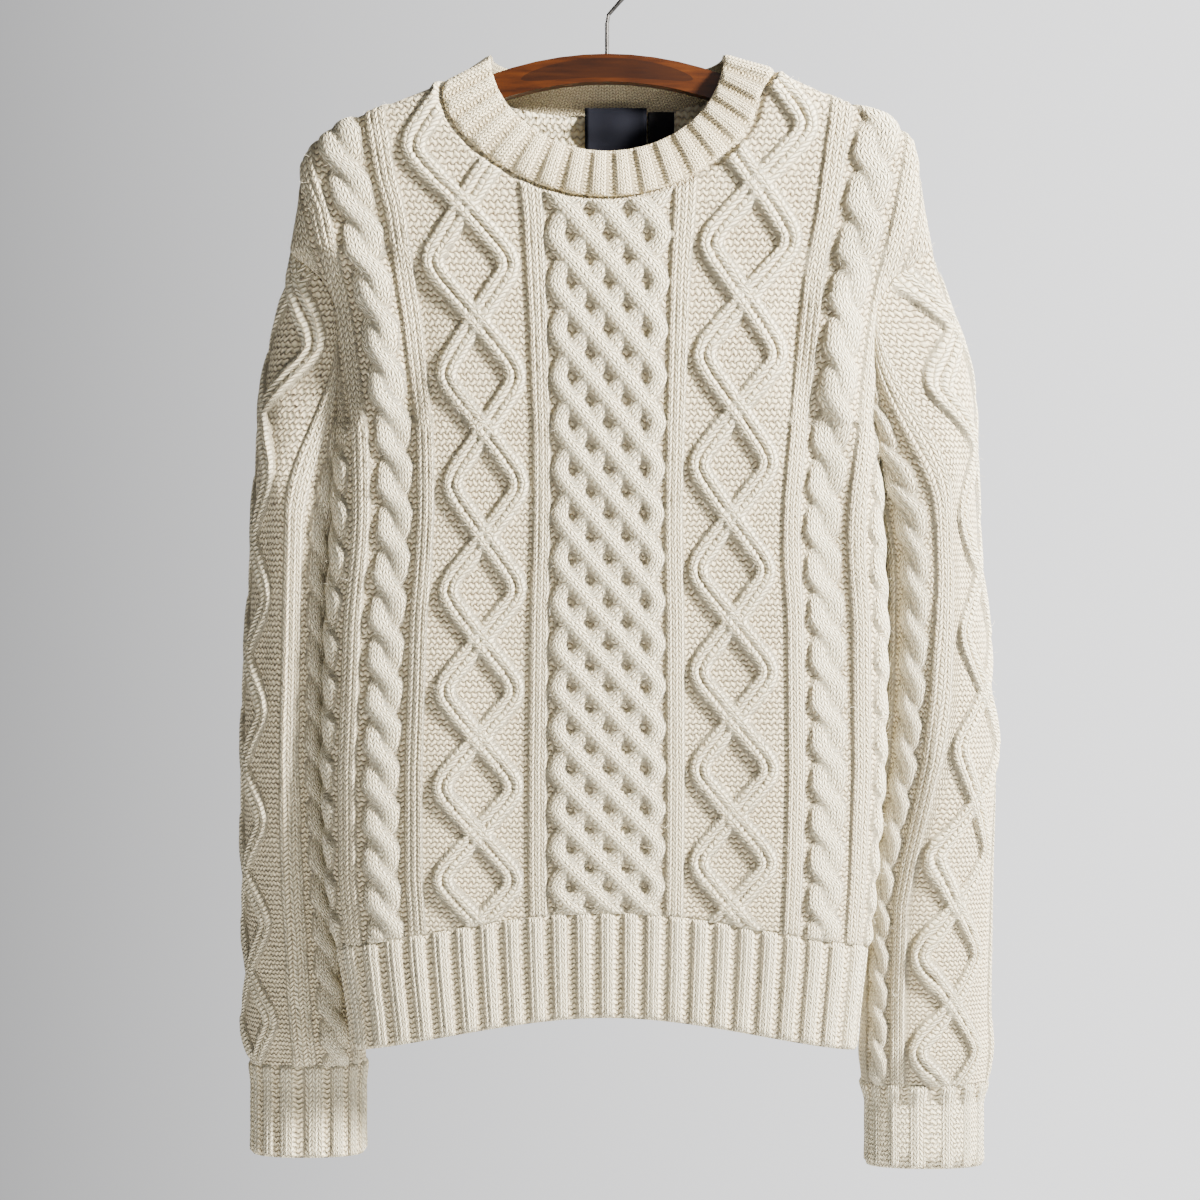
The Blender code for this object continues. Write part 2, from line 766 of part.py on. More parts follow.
def make_label(name, material, collection):
    left, right, top, bottom = LABEL[name]
    mesh = bmesh.new()
    sheets = []
    for depth in (WALL + SEAM, WALL + SEAM + LABEL_THICK):
        columns = []
        for step in range(5):
            x = left + (right - left) * step / 4.0
            rows = []
            for index, z in enumerate((bottom, top)):
                width = x / 1.2
                point = body_point(width, z, "back") - body_normal(width, z, "back") * depth
                rows.append((index, add_point(mesh, point)))
            columns.append((step, rows))
        sheets.append(columns)
    close_panel(mesh, sheets[0], sheets[1])
    return finish_mesh(name, mesh, material, collection, soft=False)


# Hanger: a bowed board with round ends, cut as a flat outline
def hanger_top(x):
    return HANGER_TOP_Z - HANGER_DROP * (x / NECKBAND_HALF) ** 2


def make_hanger(name, material, collection):
    curve = bpy.data.curves.new(name + "_outline", "CURVE")
    curve.dimensions = "2D"
    curve.fill_mode = "BOTH"
    curve.extrude = HANGER_THICK / 2.0 * MM
    steps = 24
    upper = []
    lower = []
    for step in range(steps + 1):
        x = -HANGER_HALF + 2.0 * HANGER_HALF * step / steps
        slim = max(0.0, abs(x) / HANGER_HALF - 0.9) * 10.0
        upper.append((x, hanger_top(x) - 4.0 * slim ** 2))
        lower.append((x, hanger_top(x) - HANGER_HEIGHT + 6.0 * slim ** 2))
    outline = upper + lower[::-1]
    spline = curve.splines.new("POLY")
    spline.points.add(len(outline) - 1)
    for point, (x, z) in zip(spline.points, outline):
        point.co = (x * MM, z * MM, 0.0, 1.0)
    spline.use_cyclic_u = True
    guide = bpy.data.objects.new(name + "_outline", curve)
    collection.objects.link(guide)
    guide.rotation_euler = (math.radians(90.0), 0.0, 0.0)
    bpy.context.view_layer.update()
    evaluated = guide.evaluated_get(bpy.context.evaluated_depsgraph_get())
    data = bpy.data.meshes.new_from_object(evaluated)
    data.transform(guide.matrix_world)
    mesh = bmesh.new()
    mesh.from_mesh(data)
    bmesh.ops.remove_doubles(mesh, verts=mesh.verts[:], dist=1e-5)
    bpy.data.objects.remove(guide, do_unlink=True)
    bpy.data.meshes.remove(data)
    return finish_mesh(name, mesh, material, collection, soft=False)


def make_hook(name, material, collection):
    centre = WIRE / 2.0 - HOOK_RADIUS
    path = [(0.0, HANGER_TOP_Z + SEAM), (0.0, centre - 34.0), (1.0, centre - 28.0), (8.0, centre - 20.0)]
    for step in range(19):
        turn = math.radians(-45.0 + 12.5 * step)
        path.append((HOOK_RADIUS * math.cos(turn), centre + HOOK_RADIUS * math.sin(turn)))
    curve = bpy.data.curves.new(name + "_path", "CURVE")
    curve.dimensions = "3D"
    curve.bevel_depth = WIRE / 2.0 * MM
    curve.bevel_resolution = 2
    curve.use_fill_caps = True
    spline = curve.splines.new("POLY")
    spline.points.add(len(path) - 1)
    for point, (x, z) in zip(spline.points, path):
        point.co = (x * MM, 0.0, z * MM, 1.0)
    guide = bpy.data.objects.new(name + "_path", curve)
    collection.objects.link(guide)
    bpy.context.view_layer.update()
    evaluated = guide.evaluated_get(bpy.context.evaluated_depsgraph_get())
    data = bpy.data.meshes.new_from_object(evaluated)
    mesh = bmesh.new()
    mesh.from_mesh(data)
    bmesh.ops.remove_doubles(mesh, verts=mesh.verts[:], dist=1e-6)
    bpy.data.objects.remove(guide, do_unlink=True)
    bpy.data.meshes.remove(data)
    return finish_mesh(name, mesh, material, collection)


def make_material(name, colour, roughness, metallic=0.0):
    material = bpy.data.materials.new(name)
    material.use_nodes = True
    shader = material.node_tree.nodes["Principled BSDF"]
    shader.inputs["Base Color"].default_value = (*colour, 1.0)
    shader.inputs["Roughness"].default_value = roughness
    shader.inputs["Metallic"].default_value = metallic
    return material


def main():
    clear_scene()
    collection = bpy.data.collections.new("cable_knit_sweater")
    bpy.context.scene.collection.children.link(collection)

    def finish(name, colour, roughness, metallic=0.0):
        return make_material(name, colour, roughness, metallic)

    cream = (0.84, 0.79, 0.67)
    make_panel("front_panel", "front", finish("front_knit", cream, 0.95), collection, True)
    make_panel("back_panel", "back", finish("back_knit", cream, 0.95), collection, False)
    for hand in ("left", "right"):
        make_sleeve("sleeve_" + hand, hand, finish("sleeve_knit_" + hand, cream, 0.95), collection)
        make_cuff("cuff_" + hand, hand, finish("cuff_knit_" + hand, cream, 0.95), collection)
    for side in ("front", "back"):
        make_hem("hem_rib_" + side, side, finish("hem_knit_" + side, cream, 0.95), collection)
    make_neckband("neckband", finish("neckband_knit", (0.85, 0.79, 0.64), 0.95), collection)
    make_label("neck_label", finish("label_weave", (0.012, 0.014, 0.03), 0.7), collection)
    make_label("size_tab", finish("tab_weave", (0.01, 0.01, 0.012), 0.7), collection)
    make_hanger("hanger", finish("varnished_wood", (0.42, 0.17, 0.045), 0.35), collection)
    make_hook("hanger_hook", finish("steel_wire", (0.35, 0.34, 0.33), 0.35, 1.0), collection)


main()
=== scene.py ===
import bmesh
import bpy
import math
import numpy as np
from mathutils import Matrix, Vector


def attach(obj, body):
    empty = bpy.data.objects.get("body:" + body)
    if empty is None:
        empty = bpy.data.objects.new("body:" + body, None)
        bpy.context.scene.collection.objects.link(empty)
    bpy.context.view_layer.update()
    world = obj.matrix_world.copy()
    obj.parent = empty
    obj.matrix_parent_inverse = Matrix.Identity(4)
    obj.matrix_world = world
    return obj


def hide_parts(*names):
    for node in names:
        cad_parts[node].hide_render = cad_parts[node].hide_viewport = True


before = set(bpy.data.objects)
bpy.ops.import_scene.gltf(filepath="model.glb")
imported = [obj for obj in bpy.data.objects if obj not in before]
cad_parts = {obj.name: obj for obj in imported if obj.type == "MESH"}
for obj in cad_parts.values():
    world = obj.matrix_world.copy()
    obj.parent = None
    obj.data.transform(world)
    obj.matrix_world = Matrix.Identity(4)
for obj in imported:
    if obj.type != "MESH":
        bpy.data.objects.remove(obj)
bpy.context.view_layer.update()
print("frame loaded:", len(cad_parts), "solids")

mm = 0.001

# Sizes of the knitted body, in millimetres, as its solids have them
body = {
    "wall": 3.2,
    "seam": 0.3,
    "panelHalf": 215.0,
    "neckHalf": 93.0,
    "hemTopZ": -689.0,
    "hemHeight": 74.0,
    "hemDrop": 30.0,
    "hemCurve": 0.9,
    "frontNeckZ": -183.0,
    "backNeckZ": -121.0,
    "armholeTop": {"left": -218.0, "right": -211.0},
    "armholeBottom": -345.0,
    "armholeReach": 20.0,
    "stretchZ": -650.0,
    "stretch": 6.39e-4,
    "ringPoints": 481,
    "cornerPower": 0.5,
    "tuckFrom": -44.0,  # front to back, where the sides begin to tuck in
    "tuckOver": 64.0,
    "lowest": -802.0,  # the surface table's heights
    "highest": -84.0,
    "levels": 480,
    "fractions": 361,
}

# Outline rows: height, half width left, half width right, depth in front, depth behind, tuck
bodyRows = [
    (-800.0, 190.0, 186.0, 46.0, 33.0, 30.0),
    (-767.0, 194.0, 189.0, 46.0, 33.0, 31.0),
    (-720.0, 202.0, 195.0, 46.0, 34.0, 33.0),
    (-664.0, 208.5, 200.0, 46.0, 34.0, 33.0),
    (-589.0, 210.5, 205.0, 45.0, 34.0, 29.0),
    (-486.0, 206.0, 205.0, 44.0, 34.0, 22.0),
    (-413.0, 199.5, 200.0, 43.0, 34.0, 15.0),
    (-345.0, 197.0, 196.0, 41.0, 34.0, 9.0),
    (-290.0, 197.0, 195.0, 38.0, 32.0, 5.0),
    (-258.0, 199.0, 197.0, 35.0, 29.0, 2.0),
    (-239.0, 206.0, 207.0, 33.0, 26.0, 0.0),
    (-218.0, 227.0, 233.0, 30.0, 23.0, 0.0),
    (-186.0, 221.0, 227.0, 29.0, 21.0, 0.0),
    (-157.0, 218.0, 223.0, 26.0, 19.5, 0.0),
    (-139.0, 209.0, 218.0, 24.0, 18.5, 0.0),
    (-123.0, 184.0, 203.0, 22.0, 18.0, 0.0),
    (-109.0, 148.0, 167.0, 20.5, 17.5, 0.0),
    (-95.0, 113.0, 136.0, 19.5, 17.0, 0.0),
    (-86.0, 96.0, 116.0, 19.0, 16.5, 0.0),
]

# Shoulder seam: knit width from the centre, height left, height right
shoulderRows = [
    (93.0, -92.0, -85.5),
    (122.0, -109.0, -98.0),
    (150.0, -123.0, -111.0),
    (172.0, -139.0, -122.0),
    (185.0, -157.0, -140.0),
    (200.0, -186.0, -172.0),
    (215.0, -218.0, -211.0),
]

# Stitch columns of a body panel from the centre out: start, end, kind
panelColumns = [
    (0.0, 35.5, "lattice"),
    (39.5, 51.5, "rib"),
    (54.0, 115.0, "diamond"),
    (120.0, 132.0, "rib"),
    (136.0, 160.0, "cable"),
    (165.0, 177.0, "rib"),
    (181.0, 205.0, "cable"),
]

stitch = {"wide": 4.0, "tall": 3.5}

pattern = {
    "diamondRepeat": 64.5,
    "sleeveRepeat": 75.0,
    "cableRepeat": 27.5,
    "latticeStep": 13.6,
    "latticeLane": 13.3,
    "ribHigh": 2.4,
    "cableHigh": 5.2,
    "sleeveCableHigh": 4.68,
    "purlHigh": 0.02,
    "lineHigh": 4.2,
    "latticeHigh": 4.6,
    "diamondPhase": {-1: -47.7, 1: -35.6},
    "sleevePhase": {-1: -88.5, 1: -38.1},
    "diamondReach": 23.0,
}


def smoothStep(value):
    value = np.clip(value, 0.0, 1.0)
    return value * value * (3.0 - 2.0 * value)


def tableAt(rows, index, where):
    rows = sorted(rows)
    return np.interp(where, [row[0] for row in rows], [row[index] for row in rows])


def knitRow(z):
    return np.log(1.0 + body["stretch"] * (z - body["stretchZ"])) / body["stretch"]


def shoulderWidth(z, left):
    rows = shoulderRows[::-1]
    heights = [row[1 if left else 2] for row in rows]
    return np.interp(z, heights, [row[0] for row in rows])


def armholeCut(z, top):
    share = np.clip((top - z) / (top - body["armholeBottom"]), 0.0, 1.0)
    return body["armholeReach"] * np.sqrt(np.clip(1.0 - (2.0 * share - 1.0) ** 2, 0.0, 1.0))


def bodyRing(z, side):
    angles = np.linspace(math.pi, 2.0 * math.pi, body["ringPoints"])
    deep = tableAt(bodyRows, 3 if side == "front" else 4, z)
    sines = np.clip(-np.sin(angles), 0.0, 1.0)
    cosines = np.cos(angles)
    half = np.where(cosines < 0.0, tableAt(bodyRows, 1, z), tableAt(bodyRows, 2, z))
    x = half * np.sign(cosines) * np.abs(cosines) ** body["cornerPower"]
    y = (-1.0 if side == "front" else 1.0) * deep * sines ** body["cornerPower"]
    tuck = tableAt(bodyRows, 5, z) * smoothStep((y - body["tuckFrom"]) / body["tuckOver"])
    return x - np.sign(x) * np.minimum(tuck, np.abs(x)), y


# A table of the body's surface: place across and front to back, for each height and share of the panel
def surfaceTable(side):
    heights = np.linspace(body["lowest"], body["highest"], body["levels"])
    shares = np.linspace(-1.0, 1.0, body["fractions"])
    tableX = np.zeros((len(heights), len(shares)))
    tableY = np.zeros_like(tableX)
    reaches = {-1: np.zeros(len(heights)), 1: np.zeros(len(heights))}
    for level, z in enumerate(heights):
        x, y = bodyRing(z, side)
        arc = np.concatenate([[0.0], np.cumsum(np.hypot(np.diff(x), np.diff(y)))])
        middle = arc[len(arc) // 2]
        leftReach = middle - armholeCut(z, body["armholeTop"]["left"]) - body["seam"] / 2
        rightReach = arc[-1] - middle - armholeCut(z, body["armholeTop"]["right"]) - body["seam"] / 2
        places = middle + np.where(shares < 0.0, shares * leftReach, shares * rightReach)
        reaches[-1][level] = leftReach
        reaches[1][level] = rightReach
        tableX[level] = np.interp(places, arc, x)
        tableY[level] = np.interp(places, arc, y)
    return {"heights": heights, "shares": shares, "x": tableX, "y": tableY, "reaches": reaches}


surfaces = {side: surfaceTable(side) for side in ("front", "back")}


def bodySurface(width, z, side):
    heights, shares = surfaces[side]["heights"], surfaces[side]["shares"]
    edge = np.where(width < 0.0, shoulderWidth(z, True), shoulderWidth(z, False))
    share = np.clip(width / edge, -1.0, 1.0)
    row = np.clip((z - heights[0]) / (heights[1] - heights[0]), 0.0, len(heights) - 1.001)
    column = np.clip((share + 1.0) / (shares[1] - shares[0]), 0.0, len(shares) - 1.001)
    i = row.astype(int)
    j = column.astype(int)
    a = row - i
    b = column - j

    def pick(name):
        table = surfaces[side][name]
        low = table[i, j] * (1 - b) + table[i, j + 1] * b
        high = table[i + 1, j] * (1 - b) + table[i + 1, j + 1] * b
        return low * (1 - a) + high * a

    return np.stack([pick("x"), pick("y"), z + 0.0 * width], axis=-1)


# How much wider the columns stand towards the shoulders: height, left, right
columnSpread = [
    (-469.0, 1.0, 1.0),
    (-352.0, 1.02, 1.07),
    (-273.0, 1.094, 1.135),
    (-241.0, 1.135, 1.165),
    (-191.0, 1.20, 1.24),
    (-170.0, 1.25, 1.265),
    (-110.0, 1.34, 1.34),
]
columnBlend = {"middleShare": 0.5, "middleReach": 90.0, "from": -480.0, "over": 130.0}


def columnPlace(width, z, side):
    # the place across in stitch columns, which run straighter than the armhole's edge
    heights, reaches = surfaces[side]["heights"], surfaces[side]["reaches"]
    left = width < 0.0
    edge = np.where(left, shoulderWidth(z, True), shoulderWidth(z, False))
    reach = np.where(left, np.interp(z, heights, reaches[-1]), np.interp(z, heights, reaches[1]))
    arc = width / edge * reach
    spread = np.where(left, tableAt(columnSpread, 1, z), tableAt(columnSpread, 2, z))
    least = columnBlend["middleShare"]
    share = least + (1.0 - least) * smoothStep(np.abs(arc) / columnBlend["middleReach"])
    spread = 1.0 + (spread - 1.0) * share
    upper = smoothStep((z - columnBlend["from"]) / columnBlend["over"])
    return width * (1.0 - upper) + arc / spread * upper


def hemTop(width):
    share = smoothStep(np.abs(width) / body["panelHalf"] * body["hemCurve"])
    return body["hemTopZ"] - body["hemDrop"] * share


# The panels run on a little under the neckband and are pushed in there
underBand = {"wide": 4.0, "lowShare": 0.7, "power": 0.8, "openPower": 0.5,
             "from": 1.05, "over": 0.045, "below": 12.0, "deep": 2.6, "flatten": 0.95}


def panelTop(width, side, under=0.0):
    widths = [row[0] for row in shoulderRows]
    left = np.interp(np.abs(width), widths, [row[1] for row in shoulderRows])
    right = np.interp(np.abs(width), widths, [row[2] for row in shoulderRows])
    shoulder = np.where(width < 0.0, left, right)
    low = (body["frontNeckZ"] if side == "front" else body["backNeckZ"]) + under * underBand["lowShare"]
    half = body["neckHalf"] - under
    power = underBand["power"] if under else underBand["openPower"]
    hollow = np.clip(1.0 - (width / half) ** 2, 0.0, 1.0) ** power
    return np.where(np.abs(width) >= half, shoulder, low + (shoulder - low) * (1.0 - hollow))


def underNeckband(width, z, side):
    # 1 where the panel lies under the neckband, 0 away from it
    shoulder = panelTop(np.where(width < 0.0, -body["neckHalf"], body["neckHalf"]), side)
    low = body["frontNeckZ"] if side == "front" else body["backNeckZ"]
    ring = np.hypot(width / body["neckHalf"], (z - shoulder) / (shoulder - low))
    return smoothStep((underBand["from"] - ring) / underBand["over"]) * (z > low - underBand["below"])


# Soft ridges and hollows of the hanging cloth: place across, how wide, how high, middle height, how tall
creases = [
    (-176.0, 16.0, 3.0, -330.0, 190.0),
    (-146.0, 13.0, -2.6, -380.0, 200.0),
    (150.0, 15.0, -4.2, -400.0, 210.0),
    (178.0, 14.0, 3.4, -380.0, 210.0),
    (-60.0, 30.0, -1.8, -560.0, 150.0),
    (62.0, 34.0, -1.4, -480.0, 170.0),
    (20.0, 40.0, 1.4, -300.0, 120.0),
    (-110.0, 20.0, 1.6, -610.0, 120.0),
    (112.0, 22.0, 1.7, -620.0, 110.0),
]


def creaseHeight(width, z):
    total = np.zeros_like(width + z)
    for place, wide, high, middle, tall in creases:
        shape = np.exp(-((width - place) / wide) ** 2) * np.exp(-((z - middle) / tall) ** 2)
        total = total + high * shape
    return total


# Stitch patterns: each gives the raised height, the stitch across and along, and 1 for knit or 0 for purl
ribShape = {"base": 0.5, "power": 0.7, "reach": 1.06, "round": 0.35}
ropeShape = {"swing": 0.44, "strand": 0.58, "easeFrom": 0.14, "easeOver": 0.72, "lean": 0.28,
             "high": 0.80, "rise": 0.20, "dip": 0.42, "round": 0.8}
diamondShape = {"corner": 0.955, "steep": 2.2, "slope": 2.1, "narrow": 0.92, "under": 0.78,
                "strand": 3.3, "strandHalf": 3.2, "half": 6.5, "base": 0.2, "reach": 6.8, "round": 0.3,
                "wide": 6.6, "along": 1.2}
latticeShape = {"strands": 6, "corner": 0.985, "steep": 2.5, "slope": 0.93, "level": 0.86, "step": 0.14,
                "sharp": 4.0, "half": 6.3, "along": 1.25}
ropeMiddle = 1.5  # stitches from a strand's edge to its middle


def dome(across, half):
    return np.sqrt(np.clip(1.0 - (across / half) ** 2, 0.0, 1.0))


def layer(found, height, across, along, knit=1.0):
    best, stitchU, stitchV, kind = found
    higher = height > best
    return (
        np.where(higher, height, best),
        np.where(higher, across, stitchU),
        np.where(higher, along, stitchV),
        np.where(higher, knit, kind),
    )


def ribColumns(found, across, row, half, high, columns=3):  # knit columns side by side
    wide = 2.0 * half / columns
    place = (across + half) / wide
    inside = np.abs(across) < half
    base = ribShape["base"]
    shape = base + (1.0 - base) * np.abs(np.sin(math.pi * place)) ** ribShape["power"]
    crown = dome(across, half * ribShape["reach"]) ** ribShape["round"]
    height = np.where(inside, high * shape * crown, 0.0)
    return layer(found, height, place, row / stitch["tall"])


def ropeCable(found, across, row, half, high):
    # two strands of three stitches; the one that leans right going down lies on top
    place = row / pattern["cableRepeat"]
    part = place - np.floor(place)
    ease = smoothStep((part - ropeShape["easeFrom"]) / ropeShape["easeOver"])
    over = half * ropeShape["swing"] * (1.0 - 2.0 * ease)
    cross = np.sin(math.pi * part)
    strand = half * ropeShape["strand"]
    lean = 1.0 + ropeShape["lean"] * cross
    overDome = dome(across - over, strand * lean) ** ropeShape["round"]
    underDome = dome(across + over, strand) ** ropeShape["round"]
    overHigh = high * (ropeShape["high"] + ropeShape["rise"] * cross) * overDome
    underHigh = high * (ropeShape["high"] - ropeShape["dip"] * cross) * underDome
    along = row / stitch["tall"]
    found = layer(found, underHigh, (across + over) / stitch["wide"] + ropeMiddle, along)
    return layer(found, overHigh, (across - over) / stitch["wide"] + ropeMiddle, along)


def diamondLines(found, across, row, phase, repeat, reach, high):
    # a doubled line zigzags each way; the line that leans right going down lies on top where they cross
    line = diamondShape
    place = (row - phase) / repeat
    wave = np.arcsin(line["corner"] * np.sin(math.pi * place)) / math.asin(line["corner"])
    slope = np.cos(math.pi * place)
    steep = np.minimum(1.0, line["steep"] * np.abs(slope))
    slant = np.cos(np.arctan(line["slope"] * reach / repeat * steep)) * line["narrow"]
    for sign in (1.0, -1.0):
        distance = (across - sign * reach * wave) * slant
        onTop = np.where(sign * slope < 0.0, 1.0, line["under"])
        ridge = dome(np.abs(distance) - line["strand"], line["strandHalf"])
        crown = (line["base"] + (1.0 - line["base"]) * ridge) * dome(distance, line["reach"]) ** line["round"]
        height = np.where(np.abs(distance) < line["half"], high * onTop * crown, 0.0)
        found = layer(found, height, distance / line["wide"], row * line["along"] / stitch["tall"])
    return found


def latticeStrands(found, across, row, high):
    # the strands swing from edge to edge; those that lean right going down lie on top
    weave = latticeShape
    lane = pattern["latticeLane"]
    edge = (weave["strands"] - 1) / 2.0 * lane
    along = row * weave["along"] / stitch["tall"]
    for strand in range(weave["strands"]):
        turn = (row / pattern["latticeStep"] + 2.0 * strand + 0.5) * math.pi / weave["strands"]
        swing = np.arcsin(weave["corner"] * np.sin(turn)) / math.asin(weave["corner"])
        slope = np.cos(turn)
        steep = np.minimum(1.0, weave["steep"] * np.abs(slope))
        lean = np.cos(np.arctan(weave["slope"] * lane / pattern["latticeStep"] * steep))
        distance = (across - edge * swing) * lean
        level = weave["level"] - weave["step"] * np.clip(slope * weave["sharp"], -1.0, 1.0)
        found = layer(found, high * level * dome(distance, weave["half"]),
                      distance / stitch["wide"] + ropeMiddle, along)
    return found


def purlGround(width, row):
    flat = np.zeros_like(width)
    return flat + pattern["purlHigh"], width / stitch["wide"], row / stitch["tall"] + flat, flat


# The outer cable starts below the armhole, and plain knit columns run above it to the shoulder
outerColumn = {"from": 165.0, "low": -338.0, "over": 44.0, "shift": 3.0, "half": 15.0, "high": 1.6,
               "columns": 8}
sideColumn = {"place": 212.0, "half": 5.0, "high": 1.4, "columns": 2}


def outerCable(found, across, row, half, z, sign):
    plain = outerColumn
    low = smoothStep((plain["low"] - z) / plain["over"])
    cable = ropeCable(found, across, row, half, pattern["cableHigh"])
    knit = ribColumns(found, across - sign * plain["shift"], row, plain["half"], plain["high"],
                      plain["columns"])
    height = cable[0] * low + knit[0] * (1.0 - low)
    return (height,) + tuple(np.where(low > 0.5, a, b) for a, b in zip(cable[1:], knit[1:]))


def bodyPattern(width, z):
    row = knitRow(z)
    shape = width + 0.0 * z
    found = purlGround(shape, row)
    for start, end, kind in panelColumns:
        middle = (start + end) / 2.0
        half = (end - start) / 2.0
        if kind == "lattice":
            found = latticeStrands(found, shape, row, pattern["latticeHigh"])
            continue
        for sign in (-1.0, 1.0):
            across = shape - sign * middle
            if kind == "rib":
                found = ribColumns(found, across, row, half, pattern["ribHigh"])
            elif kind == "diamond":
                phase = pattern["diamondPhase"][int(sign)]
                found = diamondLines(found, across, row, phase, pattern["diamondRepeat"],
                                     pattern["diamondReach"], pattern["lineHigh"])
            elif start > outerColumn["from"]:
                found = outerCable(found, across, row, half, z, sign)
            else:
                found = ropeCable(found, across, row, half, pattern["cableHigh"])
    for sign in (-1.0, 1.0):
        found = ribColumns(found, shape - sign * sideColumn["place"], row, sideColumn["half"],
                           sideColumn["high"], sideColumn["columns"])
    return found


# Mesh building: a fine outer grid, a coarse plain inner grid, and zipped rims between them
def gridNormals(points, closed):
    if closed:
        wrapped = np.concatenate([points[:, -2:-1], points, points[:, 1:2]], axis=1)
        across = wrapped[:, 2:] - wrapped[:, :-2]
    else:
        across = np.gradient(points, axis=1)
    along = np.gradient(points, axis=0)
    normals = np.cross(across, along)
    length = np.linalg.norm(normals, axis=-1, keepdims=True)
    return normals / np.maximum(length, 1e-9)


def zipLoops(first, second, firstShares, secondShares):
    faces = []
    i = 0
    j = 0
    while i < len(first) - 1 or j < len(second) - 1:
        useFirst = j == len(second) - 1
        if not useFirst and i < len(first) - 1:
            useFirst = firstShares[i + 1] <= secondShares[j + 1]
        if useFirst:
            faces.append((first[i], first[i + 1], second[j]))
            i += 1
        else:
            faces.append((first[i], second[j + 1], second[j]))
            j += 1
    return faces


def gridFaces(rows, columns, start, flip):
    index = start + np.arange(rows * columns).reshape(rows, columns)
    a = index[:-1, :-1].ravel()
    b = index[:-1, 1:].ravel()
    c = index[1:, 1:].ravel()
    d = index[1:, :-1].ravel()
    quads = np.stack([a, b, c, d], axis=-1)
    return quads[:, ::-1] if flip else quads


def pickEvery(count, step):
    picked = list(range(0, count - 1, step))
    if count - 1 - picked[-1] < step / 2 and len(picked) > 1:
        picked = picked[:-1]
    return np.array(picked + [count - 1])


insidePaintedShade = 0.45  # painted shade level of the wall's inside, between the painted hollow and the lit crown


def clothMesh(name, outer, base, normals, wall, facts, closed=False, coarse=8):
    rows, columns = outer.shape[:2]
    pickRows = pickEvery(rows, coarse)
    pickColumns = pickEvery(columns, coarse)
    inner = (base - normals * wall)[np.ix_(pickRows, pickColumns)]
    points = [outer.reshape(-1, 3), inner.reshape(-1, 3)]
    innerStart = rows * columns
    quads = [gridFaces(rows, columns, 0, False),
             gridFaces(len(pickRows), len(pickColumns), innerStart, True)]
    outerIndex = np.arange(rows * columns).reshape(rows, columns)
    innerIndex = innerStart + np.arange(len(pickRows) * len(pickColumns)).reshape(len(pickRows), -1)
    rims = [
        (outerIndex[0], innerIndex[0], np.arange(columns), pickColumns, False),
        (outerIndex[-1], innerIndex[-1], np.arange(columns), pickColumns, True),
    ]
    if not closed:
        rims += [
            (outerIndex[:, 0], innerIndex[:, 0], np.arange(rows), pickRows, True),
            (outerIndex[:, -1], innerIndex[:, -1], np.arange(rows), pickRows, False),
        ]
    triangles = []
    for first, second, firstShares, secondShares, flip in rims:
        faces = zipLoops(first, second, firstShares, secondShares)
        triangles += [face if flip else face[::-1] for face in faces]
    points = np.concatenate(points) * mm
    quads = np.concatenate(quads)
    data = bpy.data.meshes.new(name)
    faces = [tuple(int(v) for v in quad) for quad in quads] + [tuple(int(v) for v in t) for t in triangles]
    data.from_pydata(points.tolist(), [], faces)
    innerCount = len(points) - innerStart
    vertexU = np.concatenate([facts["u"].ravel(), np.zeros(innerCount)])
    vertexV = np.concatenate([facts["v"].ravel(), np.zeros(innerCount)])
    innerPlaces = np.ix_(pickRows, pickColumns)
    vertexU[innerStart:] = facts["plainU"][innerPlaces].ravel()
    vertexV[innerStart:] = facts["plainV"][innerPlaces].ravel()
    loops = np.zeros(len(data.loops), dtype=np.int32)
    data.loops.foreach_get("vertex_index", loops)
    stitches = data.uv_layers.new(name="stitches")
    places = np.stack([vertexU[loops], vertexV[loops]], axis=-1)
    stitches.data.foreach_set("uv", places.astype(np.float32).ravel())
    # raised feeds the painted shade of the knit colour ramp; the inside gets a fixed mid level
    for key, inside in (("knit", facts.get("inside", 0.0)), ("raised", insidePaintedShade)):
        attribute = data.attributes.new(key, "FLOAT", "POINT")
        values = np.concatenate([facts[key].ravel(), np.full(innerCount, inside)])
        attribute.data.foreach_set("value", values.astype(np.float32))
    if closed:
        weldSeam(data)
    data.shade_smooth()
    piece = bpy.data.objects.new(name, data)
    bpy.context.scene.collection.objects.link(piece)
    return piece


def weldSeam(data):
    mesh = bmesh.new()
    mesh.from_mesh(data)
    bmesh.ops.remove_doubles(mesh, verts=mesh.verts[:], dist=2e-5)
    mesh.to_mesh(data)
    mesh.free()


def outward(normals, points, centre):
    away = points - centre
    away[..., 2] = 0.0
    flip = np.sum(normals * away) < 0.0
    return -normals if flip else normals


# Mesh columns and rows of each panel, how its rows crowd at the top, and how its edges go flat
panels = {
    "front": {"columns": 408, "rows": 240, "crease": 1.0},
    "back": {"columns": 320, "rows": 190, "crease": 0.6},
    "crowd": 1.12,
    "dipPower": 4,
    "edgeRate": 60.0,
    "hemEdge": 0.4,
    "topEdge": 0.3,
    "sideWide": 2.5,
    "sideLeast": 0.35,
    "middleZ": -450.0,
}


